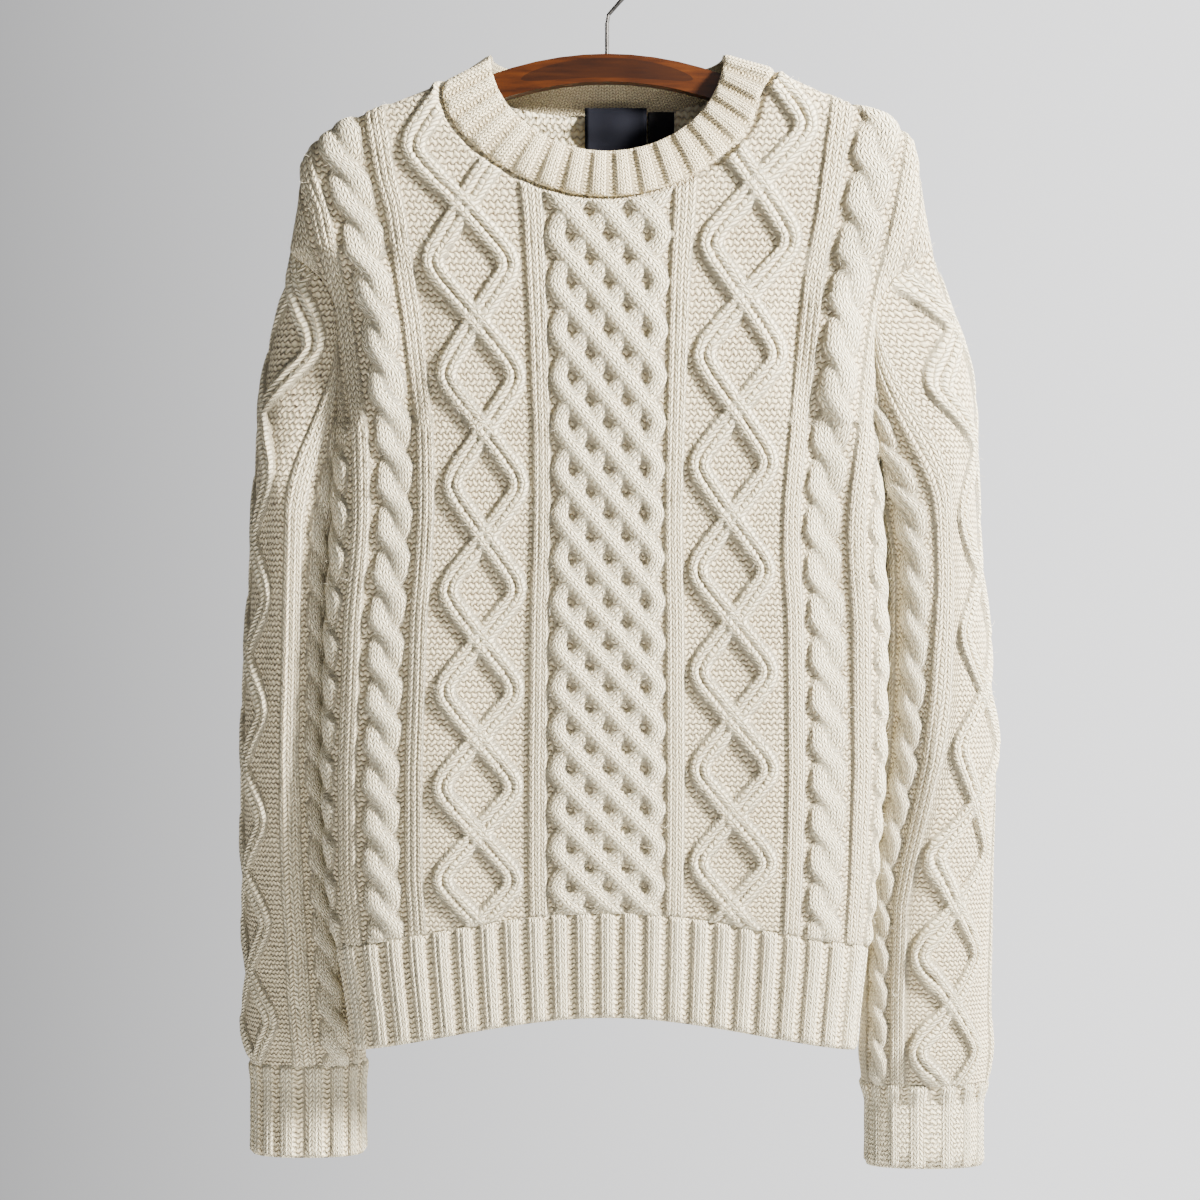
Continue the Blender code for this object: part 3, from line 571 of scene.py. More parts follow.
def makePanel(name, side):
    sizes = panels[side]
    width = np.linspace(-body["panelHalf"], body["panelHalf"], sizes["columns"])
    share = 1.0 - (1.0 - np.linspace(0.0, 1.0, sizes["rows"])) ** panels["crowd"]
    low = hemTop(width) + body["seam"] / 2
    top = panelTop(width, side, underBand["wide"])
    shoulder = panelTop(np.sign(width) * body["neckHalf"], side)
    flatTop = np.where(np.abs(width) < body["neckHalf"], shoulder, top)
    z = low[None, :] + (flatTop - low)[None, :] * share[:, None]
    z = z - (flatTop - top)[None, :] * share[:, None] ** panels["dipPower"]
    widths = np.broadcast_to(width, z.shape)
    base = bodySurface(widths, z, side)
    normals = outward(gridNormals(base, False), base, np.array([0.0, 0.0, panels["middleZ"]]))
    facing = 1.0 if side == "front" else -1.0
    height, u, v, knit = bodyPattern(facing * columnPlace(widths, z, side), z)
    fromHem = panels["edgeRate"] * share + panels["hemEdge"]
    fromTop = panels["edgeRate"] * (1.0 - share) + panels["topEdge"]
    soft = np.minimum(1.0, np.minimum(fromHem, fromTop))[:, None]
    sides = np.clip((body["panelHalf"] - np.abs(widths)) / panels["sideWide"], panels["sideLeast"], 1.0)
    crease = creaseHeight(widths, z) * soft * sizes["crease"]
    under = underNeckband(widths, z, side)
    height = height * (1.0 - underBand["flatten"] * under)
    base = base + normals * (crease * sides - underBand["deep"] * under)[..., None]
    outer = base + normals * (height * soft * sides)[..., None]
    facts = {
        "u": u, "v": v, "knit": knit, "raised": height / pattern["cableHigh"],
        "plainU": widths / stitch["wide"], "plainV": knitRow(z) / stitch["tall"],
    }
    return clothMesh(name, outer, base, normals, body["wall"], facts)


# One repeat of a rib is three knit columns and a purl hollow
bandRib = {"knitShare": 0.68, "knitColumns": 3.0, "columns": 4.0, "base": 0.55, "power": 0.7, "round": 0.4}
hem = {"ribs": 27, "columns": 16, "rows": 24, "high": 2.6, "phase": 0.34, "under": 0.8, "middleZ": -740.0,
       "wobble": 0.8, "wobblePitch": 0.045, "sideWide": 3.0}


def ribProfile(phase):
    place = phase - np.floor(phase)
    knit = place < bandRib["knitShare"]
    inside = np.clip(place / bandRib["knitShare"], 0.0, 1.0)
    ripple = np.abs(np.sin(bandRib["knitColumns"] * math.pi * inside)) ** bandRib["power"]
    wave = bandRib["base"] + (1.0 - bandRib["base"]) * ripple
    crown = np.clip(np.sin(math.pi * inside), 0.0, 1.0) ** bandRib["round"]
    column = np.where(knit, inside * bandRib["knitColumns"], place * bandRib["columns"])
    return np.where(knit, wave * crown, 0.0), column, knit * 1.0


def bandEdges(share, topRate, topLeast, lowRate):
    # 1 in the band, running out to its two edges
    return np.clip(np.minimum(share * topRate + topLeast, (1.0 - share) * lowRate), 0.0, 1.0) ** 0.5


# painted shade: the rib's purl valleys get a low value that the knit colour ramp turns dark, the knit columns
# a higher one
def ribPaintedShade(height):
    return 0.1 + 0.8 * height


def makeHem(name, side):
    width = np.linspace(-body["panelHalf"], body["panelHalf"], hem["ribs"] * hem["columns"])
    share = np.linspace(0.0, 1.0, hem["rows"])
    drop = hemTop(width) + hem["under"]
    z = drop[None, :] - body["hemHeight"] * share[:, None]
    widths = np.broadcast_to(width, z.shape)
    base = bodySurface(widths, z, side)
    normals = outward(gridNormals(base, False), base, np.array([0.0, 0.0, hem["middleZ"]]))
    height, u, knit = ribProfile(widths / (2.0 * body["panelHalf"] / hem["ribs"]) + hem["phase"])
    soft = bandEdges(share, 30.0, 0.3, 26.0)[:, None]
    sides = np.clip((body["panelHalf"] - np.abs(widths)) / hem["sideWide"], 0.0, 1.0)
    wobble = hem["wobble"] * np.sin(widths * hem["wobblePitch"] + 1.0) * np.sin(math.pi * share)[:, None]
    outer = base + normals * (hem["high"] * height * soft * sides + wobble * sides)[..., None]
    facts = {"u": u, "v": z / stitch["tall"], "knit": knit, "raised": ribPaintedShade(height),
             "plainU": widths / stitch["wide"], "plainV": z / stitch["tall"]}
    return clothMesh(name, outer, base, normals, body["wall"], facts)


# Sleeve rows: height, outer edge, inner edge, half depth, middle front to back
sleeves = {
    "left": [
        (-345.0, 250.0, 199.0, 42.0, 12.0),
        (-383.0, 254.5, 197.5, 42.0, 12.0),
        (-450.0, 257.5, 199.0, 40.0, 15.0),
        (-584.0, 263.0, 199.0, 36.0, 17.0),
        (-655.0, 266.0, 193.0, 32.0, 18.0),
        (-756.0, 263.0, 183.0, 26.0, 18.0),
        (-806.0, 260.0, 176.0, 21.0, 18.0),
    ],
    "right": [
        (-345.0, 265.0, 198.5, 42.0, 12.0),
        (-383.0, 267.0, 198.5, 42.0, 12.0),
        (-450.0, 271.0, 196.5, 40.0, 13.0),
        (-584.0, 282.5, 194.0, 36.0, 14.0),
        (-655.0, 280.5, 188.0, 32.0, 15.0),
        (-756.0, 278.0, 185.0, 26.0, 16.0),
        (-820.0, 277.0, 186.0, 21.0, 16.0),
    ],
}
sleeve = {
    "half": 125.0,
    "columns": 252,
    "rows": 250,
    "bow": {"left": 4.0, "right": 7.0},
    "cuffHeight": {"left": 66.0, "right": 60.0},
    "cuffBulge": 0.6,
    "cuffRibs": 16,
    "cuffDraw": {"left": 2.0, "right": 4.5},
    "cuffColumns": 16,
    "cuffRows": 26,
    "cuffHigh": 2.5,
    "cuffLap": 1.2,
    "roundness": 2.4,
    "settle": 0.24,  # share of the length over which the armhole's loop becomes the sleeve's ring
    "middle": (232.0, 12.0, -500.0),
    "topLap": 3.0,
    "topLapTurn": 0.25,
    "topLapShare": 0.02,
    "underPanel": 1.6,
    "underPanelBow": 0.8,
    "topRate": 22.0,  # how fast the stitches rise from the armhole, and from the cuff
    "lowRate": 60.0,
    "lowLeast": 0.2,
    "cuffMiddle": (226.0, 16.0),
    "cuffUnder": 0.4,
}
handSign = {"left": -1.0, "right": 1.0}
# The long soft wave of the sleeve, and how it blouses over its cuff
sleeveWave = {"high": 1.6, "pitch": 0.021, "middle": -560.0, "tall": 170.0, "reach": 0.4}
sleeveBlouse = {"high": 2.6, "place": 0.955, "tall": 0.028, "least": 0.8, "ripples": 9.0}
# How far the stitch columns are turned to the front: height and degrees
sleeveTwist = {
    "left": [(-806.0, 34.0), (-600.0, 31.0), (-218.0, 24.0)],
    "right": [(-820.0, 73.0), (-688.0, 73.0), (-617.0, 58.0), (-538.0, 43.0), (-450.0, 31.0),
              (-211.0, 20.0)],
}
# How far the columns are drawn together at each height: 0 as knitted, 1 as in sleeveDrawn
sleeveTogether = {
    "left": [(-806.0, 0.5), (-600.0, 0.2), (-400.0, 0.0)],
    "right": [(-688.0, 1.0), (-617.0, 0.95), (-538.0, 0.85), (-450.0, 0.7), (-383.0, 0.5), (-300.0, 0.2)],
}
# Place from the diamonds' middle as knitted, where it is drawn to on the front side, and on the back side
sleeveDrawn = [(0.0, 0.0, 0.0), (29.0, 22.0, 22.0), (42.5, 24.5, 37.0), (55.5, 34.0, 49.0),
               (62.0, 36.5, 56.0), (86.0, 53.0, 79.0), (104.0, 62.0, 97.0), (190.0, 125.0, 190.0)]
# Sleeve creases: turn from the outermost line, how wide, how high, middle height, how tall
sleeveCreases = {
    "left": [
        (1.05, 0.22, -2.6, -520.0, 170.0),
        (1.55, 0.18, 2.0, -600.0, 130.0),
        (-1.3, 0.25, -2.4, -480.0, 150.0),
        (0.35, 0.20, -1.6, -700.0, 70.0),
    ],
    "right": [
        (0.95, 0.20, -2.2, -430.0, 120.0),
        (1.6, 0.20, 1.8, -560.0, 150.0),
        (-1.2, 0.25, -2.6, -540.0, 160.0),
        (0.5, 0.18, 1.4, -690.0, 60.0),
    ],
}
sleeveColumns = [(42.5, 55.5, "rib"), (62.0, 86.0, "cable"), (92.0, 104.0, "rib")]


def sleeveRing(turn, z, hand, grow=0.0):
    rows = sleeves[hand]
    outer = tableAt(rows, 1, z) + grow
    inner = tableAt(rows, 2, z) - grow
    deep = tableAt(rows, 3, z) + grow
    power = 2.0 / sleeve["roundness"]
    cosine = np.cos(turn)
    sine = np.sin(turn)
    x = (outer + inner) / 2 + (outer - inner) / 2 * np.sign(cosine) * np.abs(cosine) ** power
    y = tableAt(rows, 4, z) - deep * np.sign(sine) * np.abs(sine) ** power
    return np.stack([handSign[hand] * x, y + 0.0 * z, z + 0.0 * x], axis=-1)


def armholeLoop(turn, hand):
    sign = handSign[hand]
    share = np.abs(turn) / math.pi
    top = body["armholeTop"][hand]
    z = top + (body["armholeBottom"] - top) * (1.0 - np.cos(turn)) / 2.0
    edge = sign * shoulderWidth(z, sign < 0.0)
    front = bodySurface(edge, z, "front")
    back = bodySurface(edge, z, "back")
    points = np.where((turn >= 0.0)[..., None], front, back)
    push = body["wall"] * (1.0 - share) ** 2 - sleeve["underPanel"]
    push = push + sleeve["underPanelBow"] * np.sin(math.pi * share)
    points[..., 0] += sign * push
    return points


def sleeveBase(turn, share, hand):
    start = armholeLoop(turn, hand)
    bottom = sleeves[hand][-1][0] + body["seam"]
    z = start[..., 2] + (bottom - start[..., 2]) * share
    level = sleeveRing(turn, np.minimum(z, body["armholeBottom"]), hand)
    reach = smoothStep(share / sleeve["settle"])[..., None]
    points = start * (1.0 - reach) + level * reach
    lap = sleeve["topLap"] * np.exp(-(turn / sleeve["topLapTurn"]) ** 2)
    z = z + lap * (1.0 - np.clip(share / sleeve["topLapShare"], 0.0, 1.0))
    bow = np.clip(np.cos(turn), 0.0, 1.0) * sleeve["bow"][hand]
    points[..., 0] += handSign[hand] * bow * np.sin(math.pi * np.minimum(1.0, share / sleeve["settle"]))
    points[..., 2] = z
    return points


def turnFrom(turns, place):
    # the turn from a place, between half a turn each way
    return (turns - place + math.pi) % (2.0 * math.pi) - math.pi


def sleevePlace(turns, z, hand):
    # the place across in stitch columns, turned and drawn together as the table rows say
    surface = turnFrom(turns, np.radians(tableAt(sleeveTwist[hand], 1, z))) / math.pi * sleeve["half"]
    knitted, drawnFront, drawnBack = (np.array(column) for column in zip(*sleeveDrawn))
    share = np.mean(tableAt(sleeveTogether[hand], 1, z), axis=1)
    width = np.zeros_like(surface)
    for line, together in enumerate(share):
        front, back = (knitted + (drawn - knitted) * together for drawn in (drawnFront, drawnBack))
        width[line] = np.where(surface[line] > 0.0, np.interp(surface[line], front, knitted),
                               -np.interp(-surface[line], back, knitted))
    return width


def sleevePattern(width, row, sign):
    found = purlGround(width, row)
    found = diamondLines(found, width * -sign, row, pattern["sleevePhase"][int(sign)],
                         pattern["sleeveRepeat"], pattern["diamondReach"], pattern["lineHigh"])
    for start, end, kind in sleeveColumns:
        for side in (-1.0, 1.0):
            across = (width - side * (start + end) / 2.0) * -sign
            half = (end - start) / 2.0
            if kind == "rib":
                found = ribColumns(found, across, row, half, pattern["ribHigh"])
            else:
                found = ropeCable(found, across, row, half, pattern["sleeveCableHigh"])
    return found


def sleeveFolds(turns, shares, z, hand, soft):
    wave = sleeveWave
    fade = np.exp(-((z - wave["middle"]) / wave["tall"]) ** 2)
    folds = wave["high"] * np.sin(z * wave["pitch"] + turns) * fade
    folds = folds * np.clip(np.cos(turns) + wave["reach"], 0.0, 1.0) * soft
    blouse = np.exp(-((shares - sleeveBlouse["place"]) / sleeveBlouse["tall"]) ** 2)
    least = sleeveBlouse["least"]
    ripple = least + (1.0 - least) * np.sin(turns * sleeveBlouse["ripples"])
    folds = folds + sleeveBlouse["high"] * blouse * ripple
    for place, wide, high, middle, tall in sleeveCreases[hand]:
        across = np.exp(-(turnFrom(turns, place) / wide) ** 2)
        folds = folds + high * across * np.exp(-((z - middle) / tall) ** 2) * soft
    return folds


def tubeGrid(columns, rows):
    turn = np.linspace(-math.pi, math.pi, columns)
    share = np.linspace(0.0, 1.0, rows)
    return np.broadcast_to(turn, (rows, columns)), np.broadcast_to(share[:, None], (rows, columns))


def makeSleeve(name, hand):
    turns, shares = tubeGrid(sleeve["columns"], sleeve["rows"])
    base = sleeveBase(turns, shares, hand)
    base[:, -1] = base[:, 0]
    sign = handSign[hand]
    normals = outward(gridNormals(base, True), base, np.array(sleeve["middle"]) * (sign, 1.0, 1.0))
    z = base[..., 2]
    row = knitRow(z)
    width = sleevePlace(turns, z, hand)
    height, u, v, knit = sleevePattern(width, row, sign)
    fromCuff = (1.0 - shares) * sleeve["lowRate"] + sleeve["lowLeast"]
    soft = np.clip(np.minimum(shares * sleeve["topRate"], fromCuff), 0.0, 1.0)
    folds = sleeveFolds(turns, shares, z, hand, soft)
    outer = base + normals * (height * soft + folds)[..., None]
    outer[:, -1] = outer[:, 0]
    facts = {"u": u, "v": v, "knit": knit, "raised": height / pattern["cableHigh"],
             "plainU": width / stitch["wide"], "plainV": row / stitch["tall"]}
    return clothMesh(name, outer, base, normals, body["wall"], facts, closed=True)


def makeCuff(name, hand):
    top = sleeves[hand][-1][0]
    turns, shares = tubeGrid(sleeve["cuffRibs"] * sleeve["cuffColumns"] + 1, sleeve["cuffRows"])
    bulge = sleeve["cuffBulge"] * np.sin(math.pi * shares)
    base = sleeveRing(turns, np.full(turns.shape, top), hand)
    grow = sleeveRing(turns, np.full(turns.shape, top), hand, 1.0) - base
    base = base + grow * bulge[..., None]
    base[..., 2] = top + sleeve["cuffLap"] - (sleeve["cuffHeight"][hand] + sleeve["cuffLap"]) * shares
    base[:, -1] = base[:, 0]
    middle, deep = sleeve["cuffMiddle"]
    normals = outward(gridNormals(base, True), base, np.array([handSign[hand] * middle, deep, top]))
    height, u, knit = ribProfile((turns / (2.0 * math.pi) + 0.5) * sleeve["cuffRibs"])
    soft = bandEdges(shares, 30.0, 0.3, 24.0)
    # drawn in below the sleeve, and easing out again towards its lower edge
    tuckIn = sleeve["cuffUnder"] + sleeve["cuffDraw"][hand] * smoothStep(shares * 3.5)
    tuckIn = tuckIn - 0.8 * smoothStep(shares * 3.0 - 2.0)
    outer = base + normals * (sleeve["cuffHigh"] * height * soft - tuckIn)[..., None]
    outer[:, -1] = outer[:, 0]
    z = base[..., 2]
    facts = {"u": u, "v": z / stitch["tall"], "knit": knit, "raised": ribPaintedShade(height),
             "plainU": turns * 13.0, "plainV": z / stitch["tall"]}
    return clothMesh(name, outer, base, normals, body["wall"], facts, closed=True, coarse=4)


neckband = {
    "half": 84.0,
    "frontZ": -149.0,
    "backZ": -89.0,
    "sideZ": -75.0,
    "forward": 23.0,
    "backward": 16.0,
    "ribs": 36,
    "columns": 12,
    "rows": 26,
    "wall": 2.6,
    "high": 2.3,
    "roll": 3.0,
    "stitchTall": 2.6,
    "tall": 36.0,
}


def makeNeckband(name):
    turn = np.linspace(0.0, 2.0 * math.pi, neckband["ribs"] * neckband["columns"] + 1)
    share = np.linspace(0.0, 1.0, neckband["rows"])
    width = body["neckHalf"] * np.cos(turn)
    front = bodySurface(width, panelTop(width, "front"), "front")
    back = bodySurface(width, panelTop(width, "back"), "back")
    sine = np.sin(turn)
    start = np.where((sine >= 0.0)[:, None], front, back)
    low = np.where(sine >= 0.0, neckband["frontZ"], neckband["backZ"])
    reach = np.where(sine >= 0.0, neckband["forward"], neckband["backward"])
    end = np.stack([
        neckband["half"] * np.cos(turn),
        -reach * np.sign(sine) * np.sqrt(np.abs(sine)),
        neckband["sideZ"] + (low - neckband["sideZ"]) * np.abs(sine),
    ], axis=-1)
    way = end - start
    unit = way / np.linalg.norm(way, axis=-1, keepdims=True)
    shares = share[:, None, None]
    base = start + unit * body["seam"] * (1.0 - shares) + way * shares
    base[..., 1] -= sine * neckband["roll"] * np.sin(math.pi * share)[:, None]
    base[:, -1] = base[:, 0]
    normals = gridNormals(base, True)
    if np.sum(normals[..., 1] * sine) > 0.0:
        normals = -normals
    height, u, knit = ribProfile(turn / (2.0 * math.pi) * neckband["ribs"] + 0.0 * share[:, None])
    soft = bandEdges(share, 10.0, 0.0, 9.0)[:, None]
    outer = base + normals * (neckband["high"] * height * soft)[..., None]
    outer[:, -1] = outer[:, 0]
    along = share[:, None] * neckband["tall"] / neckband["stitchTall"] + 0.0 * height
    around = turn / (2.0 * math.pi) * neckband["ribs"] * 4.0
    facts = {"u": u, "v": along, "knit": knit, "raised": ribPaintedShade(height),
             "plainU": np.broadcast_to(around, height.shape), "plainV": along, "inside": 1.0}
    return clothMesh(name, outer, base, normals, neckband["wall"], facts, closed=True, coarse=4)


# Shader maths: a socket with operators, and one method for any other node
class Graph:
    def __init__(self, owner, last):
        owner.use_nodes = True
        self.owner = owner
        self.tree = owner.node_tree
        self.last = self.tree.nodes[last]

    def feed(self, socket, value):
        if isinstance(value, Socket):
            self.tree.links.new(value.socket, socket)
        else:
            socket.default_value = value

    def node(self, kind, settings=None, sockets=None):
        made = self.tree.nodes.new(kind)
        for key, value in (settings or {}).items():
            if key == "stops":
                self.setStops(made.color_ramp, value)
            else:
                setattr(made, key, value)
        for key, value in (sockets or {}).items():
            self.feed(made.inputs[key], value)
        return made

    def setStops(self, ramp, stops):
        while len(ramp.elements) < len(stops):
            ramp.elements.new(0.5)
        for element, (place, colour) in zip(ramp.elements, stops):
            element.position = place
            element.color = (*colour, 1.0)

    def out(self, made, name=0):
        return Socket(self, made.outputs[name])

    def finish(self, sockets):
        for name, value in sockets.items():
            self.feed(self.last.inputs[name], value)
        return self.owner

    def maths(self, operation, *values):
        return self.out(self.node("ShaderNodeMath", {"operation": operation}, dict(enumerate(values))))

    def attribute(self, name):
        return self.out(self.node("ShaderNodeAttribute", {"attribute_name": name}), "Fac")

    def place(self, kind="Object"):
        return self.out(self.node("ShaderNodeTexCoord"), kind)

    def parts(self, vector, names):
        split = self.node("ShaderNodeSeparateXYZ", None, {0: vector})
        return [self.out(split, name) for name in names]

    def mix(self, share, first, second):
        first, second = (value if isinstance(value, Socket) else (*value, 1.0) for value in (first, second))
        sockets = {0: share, 6: first, 7: second}
        return self.out(self.node("ShaderNodeMix", {"data_type": "RGBA"}, sockets), 2)

    def noise(self, scale, vector, detail):
        sockets = {"Vector": vector, "Scale": scale, "Detail": detail}
        return self.out(self.node("ShaderNodeTexNoise", None, sockets), "Fac")

    def ramp(self, factor, stops):
        return self.out(self.node("ShaderNodeValToRGB", {"stops": stops}, {0: factor}))

    def bump(self, height, strength, distance):
        sockets = {"Height": height, "Strength": strength, "Distance": distance}
        return self.out(self.node("ShaderNodeBump", None, sockets))


class Socket:
    def __init__(self, graph, socket):
        self.graph = graph
        self.socket = socket

    def __add__(self, other):
        return self.graph.maths("ADD", self, other)

    __radd__ = __add__

    def __sub__(self, other):
        return self.graph.maths("SUBTRACT", self, other)

    def __rsub__(self, other):
        return self.graph.maths("SUBTRACT", other, self)

    def __mul__(self, other):
        return self.graph.maths("MULTIPLY", self, other)

    __rmul__ = __mul__

    def __pow__(self, other):
        return self.graph.maths("POWER", self, other)

    def __lt__(self, other):
        return self.graph.maths("LESS_THAN", self, other)

    def sine(self):
        return self.graph.maths("SINE", self)

    def part(self):
        return self.graph.maths("FRACT", self)

    def floor(self):
        return self.graph.maths("FLOOR", self)

    def size(self):
        return self.graph.maths("ABSOLUTE", self)

    def clamp(self):
        return self.graph.out(self.graph.node("ShaderNodeClamp", None, {0: self}))


def newLook(name):
    return Graph(bpy.data.materials.new(name), "Principled BSDF")


# Cream knit colours: hollow is painted shade for stitch gaps and low parts, body the mid tone, crown a
# painted lit tone for the raised tops; stops place them along that ramp
knitLook = {
    "crown": (0.94, 0.87, 0.65),
    "body": (0.74, 0.62, 0.38),
    "hollow": (0.11, 0.055, 0.016),
    "stops": (0.0, 0.42, 0.9),
    "stitchBump": 0.0021,
    "yarnBump": 0.35,
    "uneven": (0.35, 0.7),  # how far stitches slip across and along, in stitches
    "legSlant": 1.5,
    "purlBend": 0.16,
    "cloudTint": 0.93,
    "roughness": 0.93,
    "sheen": 0.22,
    "sheenRoughness": 0.5,
    "specular": 0.25,
}


def knitStitches(u, v):
    # two slanted legs in each column
    fromMiddle = (u.part() - 0.5).size()
    leg = (v - fromMiddle * knitLook["legSlant"]).part()
    legShape = (leg * math.pi).sine().size() ** 0.6
    column = ((u * (2.0 * math.pi)).sine().size() + 0.02) ** 0.45
    return legShape * column


def purlStitches(u, v):
    # rows of small arcs that bend up and down in turn
    rowPlace = v + (u * (2.0 * math.pi)).sine() * knitLook["purlBend"]
    rowShape = ((rowPlace * math.pi).sine().size() + 0.02) ** 0.6
    halfRow = ((u + rowPlace.floor() * 0.5) * math.pi).sine().size()
    return rowShape * (0.42 + 0.58 * (halfRow + 0.02) ** 0.6)


def knitMaterial(name, look):
    graph = newLook(name)
    u, v = graph.parts(graph.out(graph.node("ShaderNodeUVMap", {"uv_map": "stitches"})), "XY")
    place = graph.place()
    slip = graph.noise(230.0, place, 1.0) - 0.5
    u = u + slip * look["uneven"][0]
    v = v + slip * look["uneven"][1]
    knit = graph.attribute("knit")
    shape = knitStitches(u, v) * knit + purlStitches(u, v) * (1.0 - knit)
    yarn = graph.noise(2600.0, place, 4.0)
    # painted shade: the stitch shapes and the raised attribute darken gaps and low parts towards hollow and
    # lighten the tops towards crown
    depth = (shape * 0.80 + graph.attribute("raised") * 0.42 + yarn * 0.16 - 0.22).clamp()
    colours = (look["hollow"], look["body"], look["crown"])
    colour = graph.ramp(depth, list(zip(look["stops"], colours)))
    cloud = (graph.noise(24.0, place, 3.0) * 0.5).clamp()
    tinted = graph.mix(cloud, colour, tuple(look["cloudTint"] * part for part in look["crown"]))
    return graph.finish({
        "Base Color": graph.mix(0.5, colour, tinted),
        "Normal": graph.bump(shape + yarn * look["yarnBump"], 1.0, look["stitchBump"]),
        "Roughness": look["roughness"],
        "Sheen Weight": look["sheen"],
        "Sheen Roughness": look["sheenRoughness"],
        "Specular IOR Level": look["specular"],
    })


# the neckband uses the same painted shade ramp, with its own crown and body colours
neckLook = dict(knitLook, crown=(0.92, 0.82, 0.57), body=(0.72, 0.59, 0.34), stitchBump=0.0014)
bodyKnit = knitMaterial("creamKnit", knitLook)
ribKnit = knitMaterial("creamRib", knitLook)
neckKnit = knitMaterial("creamNeckRib", neckLook)

# The cut of each cloth piece, in metres, and its finish
clothFacts = {
    "front_panel": {"flat": (0.50, 0.60), "area": 0.262, "held": "hung", "slot": "knit", "look": bodyKnit},
    "back_panel": {"flat": (0.50, 0.62), "area": 0.272, "held": "hung", "slot": "knit", "look": bodyKnit},
    "sleeve_left": {"flat": (0.28, 0.56), "area": 0.14, "held": "hung", "slot": "knit", "look": bodyKnit},
    "sleeve_right": {"flat": (0.28, 0.56), "area": 0.15, "held": "hung", "slot": "knit", "look": bodyKnit},
    "hem_rib_front": {"flat": (0.46, 0.074), "area": 0.034, "held": "hung", "slot": "rib", "look": ribKnit},
    "hem_rib_back": {"flat": (0.44, 0.074), "area": 0.031, "held": "hung", "slot": "rib", "look": ribKnit},
    "cuff_left": {"flat": (0.23, 0.066), "area": 0.015, "held": "hung", "slot": "rib", "look": ribKnit},
    "cuff_right": {"flat": (0.24, 0.062), "area": 0.0145, "held": "hung", "slot": "rib", "look": ribKnit},
    "neckband": {"flat": (0.50, 0.036), "area": 0.0170, "held": "hung", "slot": "neck_rib", "look": neckKnit},
}


def dress(piece, node):
    facts = clothFacts[node]
    piece.data.materials.append(facts["look"])
    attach(piece, "root")
    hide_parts(node)
    piece.data.calc_loop_triangles()
    print("made", node, len(piece.data.loop_triangles), "triangles")


dress(makePanel("knitFront", "front"), "front_panel")
dress(makePanel("knitBack", "back"), "back_panel")
for hand in ("left", "right"):
    dress(makeSleeve("knitSleeve" + hand.title(), hand), "sleeve_" + hand)
    dress(makeCuff("ribCuff" + hand.title(), hand), "cuff_" + hand)
for side in ("front", "back"):
    dress(makeHem("ribHem" + side.title(), side), "hem_rib_" + side)
dress(makeNeckband("ribNeckband"), "neckband")

# Loose wool fibres that stand off the knit, scattered by nodes; sizes in metres
fibre = {
    "counts": {"knitFront": 3400, "knitBack": 2200, "knitSleeveLeft": 1300, "knitSleeveRight": 1300},
    "firstSeed": 3,
    "length": 0.0036,
    "thickness": 0.00008,
    "root": -0.0003,
    "bend": 0.0022,
    "lean": 0.004,
    "tilt": 1.1,
    "least": 0.5,
    "most": 1.15,
    "roughness": 0.8,
}


def woolMaterial(name):
    graph = newLook(name)
    tone = graph.noise(90.0, graph.place(), 2.0)
    colour = graph.mix(tone, (0.80, 0.72, 0.52), (0.94, 0.89, 0.74))
    return graph.finish({"Base Color": colour, "Roughness": fibre["roughness"]})


def fibreTree(name):
    tree = bpy.data.node_groups.new(name, "GeometryNodeTree")
    sockets = {}
    face = tree.interface
    face.new_socket("Geometry", in_out="INPUT", socket_type="NodeSocketGeometry")
    for label, kind in (("Density", "Float"), ("Seed", "Int"), ("Length", "Float"), ("Thickness", "Float"),
                        ("Look", "Material")):
        sockets[label] = face.new_socket(label, in_out="INPUT", socket_type="NodeSocket" + kind).identifier
    face.new_socket("Geometry", in_out="OUTPUT", socket_type="NodeSocketGeometry")

    def add(kind, settings, sockets):
        made = tree.nodes.new(kind)
        for key, value in settings.items():
            setattr(made, key, value)
        for key, value in sockets.items():
            if isinstance(value, bpy.types.NodeSocket):
                tree.links.new(value, made.inputs[key])
            else:
                made.inputs[key].default_value = value
        return made

    given = tree.nodes.new("NodeGroupInput").outputs
    points = add("GeometryNodeDistributePointsOnFaces", {}, {
        "Mesh": given["Geometry"], "Density": given["Density"], "Seed": given["Seed"]})
    tip = add("ShaderNodeCombineXYZ", {}, {0: fibre["lean"], 2: given["Length"]})
    bend = add("GeometryNodeCurveQuadraticBezier", {}, {
        "Resolution": 3, "Start": (0.0, 0.0, fibre["root"]), "Middle": (0.0, 0.0, fibre["bend"]),
        "End": tip.outputs[0]})
    ring = add("GeometryNodeCurvePrimitiveCircle", {}, {"Resolution": 3, "Radius": given["Thickness"]})
    strand = add("GeometryNodeCurveToMesh", {}, {"Curve": bend.outputs[0], "Profile Curve": ring.outputs[0]})
    most = np.array([fibre["tilt"], fibre["tilt"], 3.14])
    spin = add("FunctionNodeRandomValue", {"data_type": "FLOAT_VECTOR"}, {0: tuple(-most), 1: tuple(most)})
    turn = add("FunctionNodeRotateRotation", {"rotation_space": "LOCAL"}, {
        0: points.outputs["Rotation"], 1: spin.outputs[0]})
    grow = add("FunctionNodeRandomValue", {}, {2: fibre["least"], 3: fibre["most"]})
    place = add("GeometryNodeInstanceOnPoints", {}, {
        "Points": points.outputs[0], "Instance": strand.outputs[0], "Rotation": turn.outputs[0],
        "Scale": grow.outputs[1]})
    whole = add("GeometryNodeRealizeInstances", {}, {"Geometry": place.outputs[0]})
    dyed = add("GeometryNodeSetMaterial", {}, {"Geometry": whole.outputs[0], "Material": given["Look"]})
    add("NodeGroupOutput", {}, {0: dyed.outputs[0]})
    return tree, sockets


fibreLook = woolMaterial("looseWool")
fibres, fibreSockets = fibreTree("looseFibres")


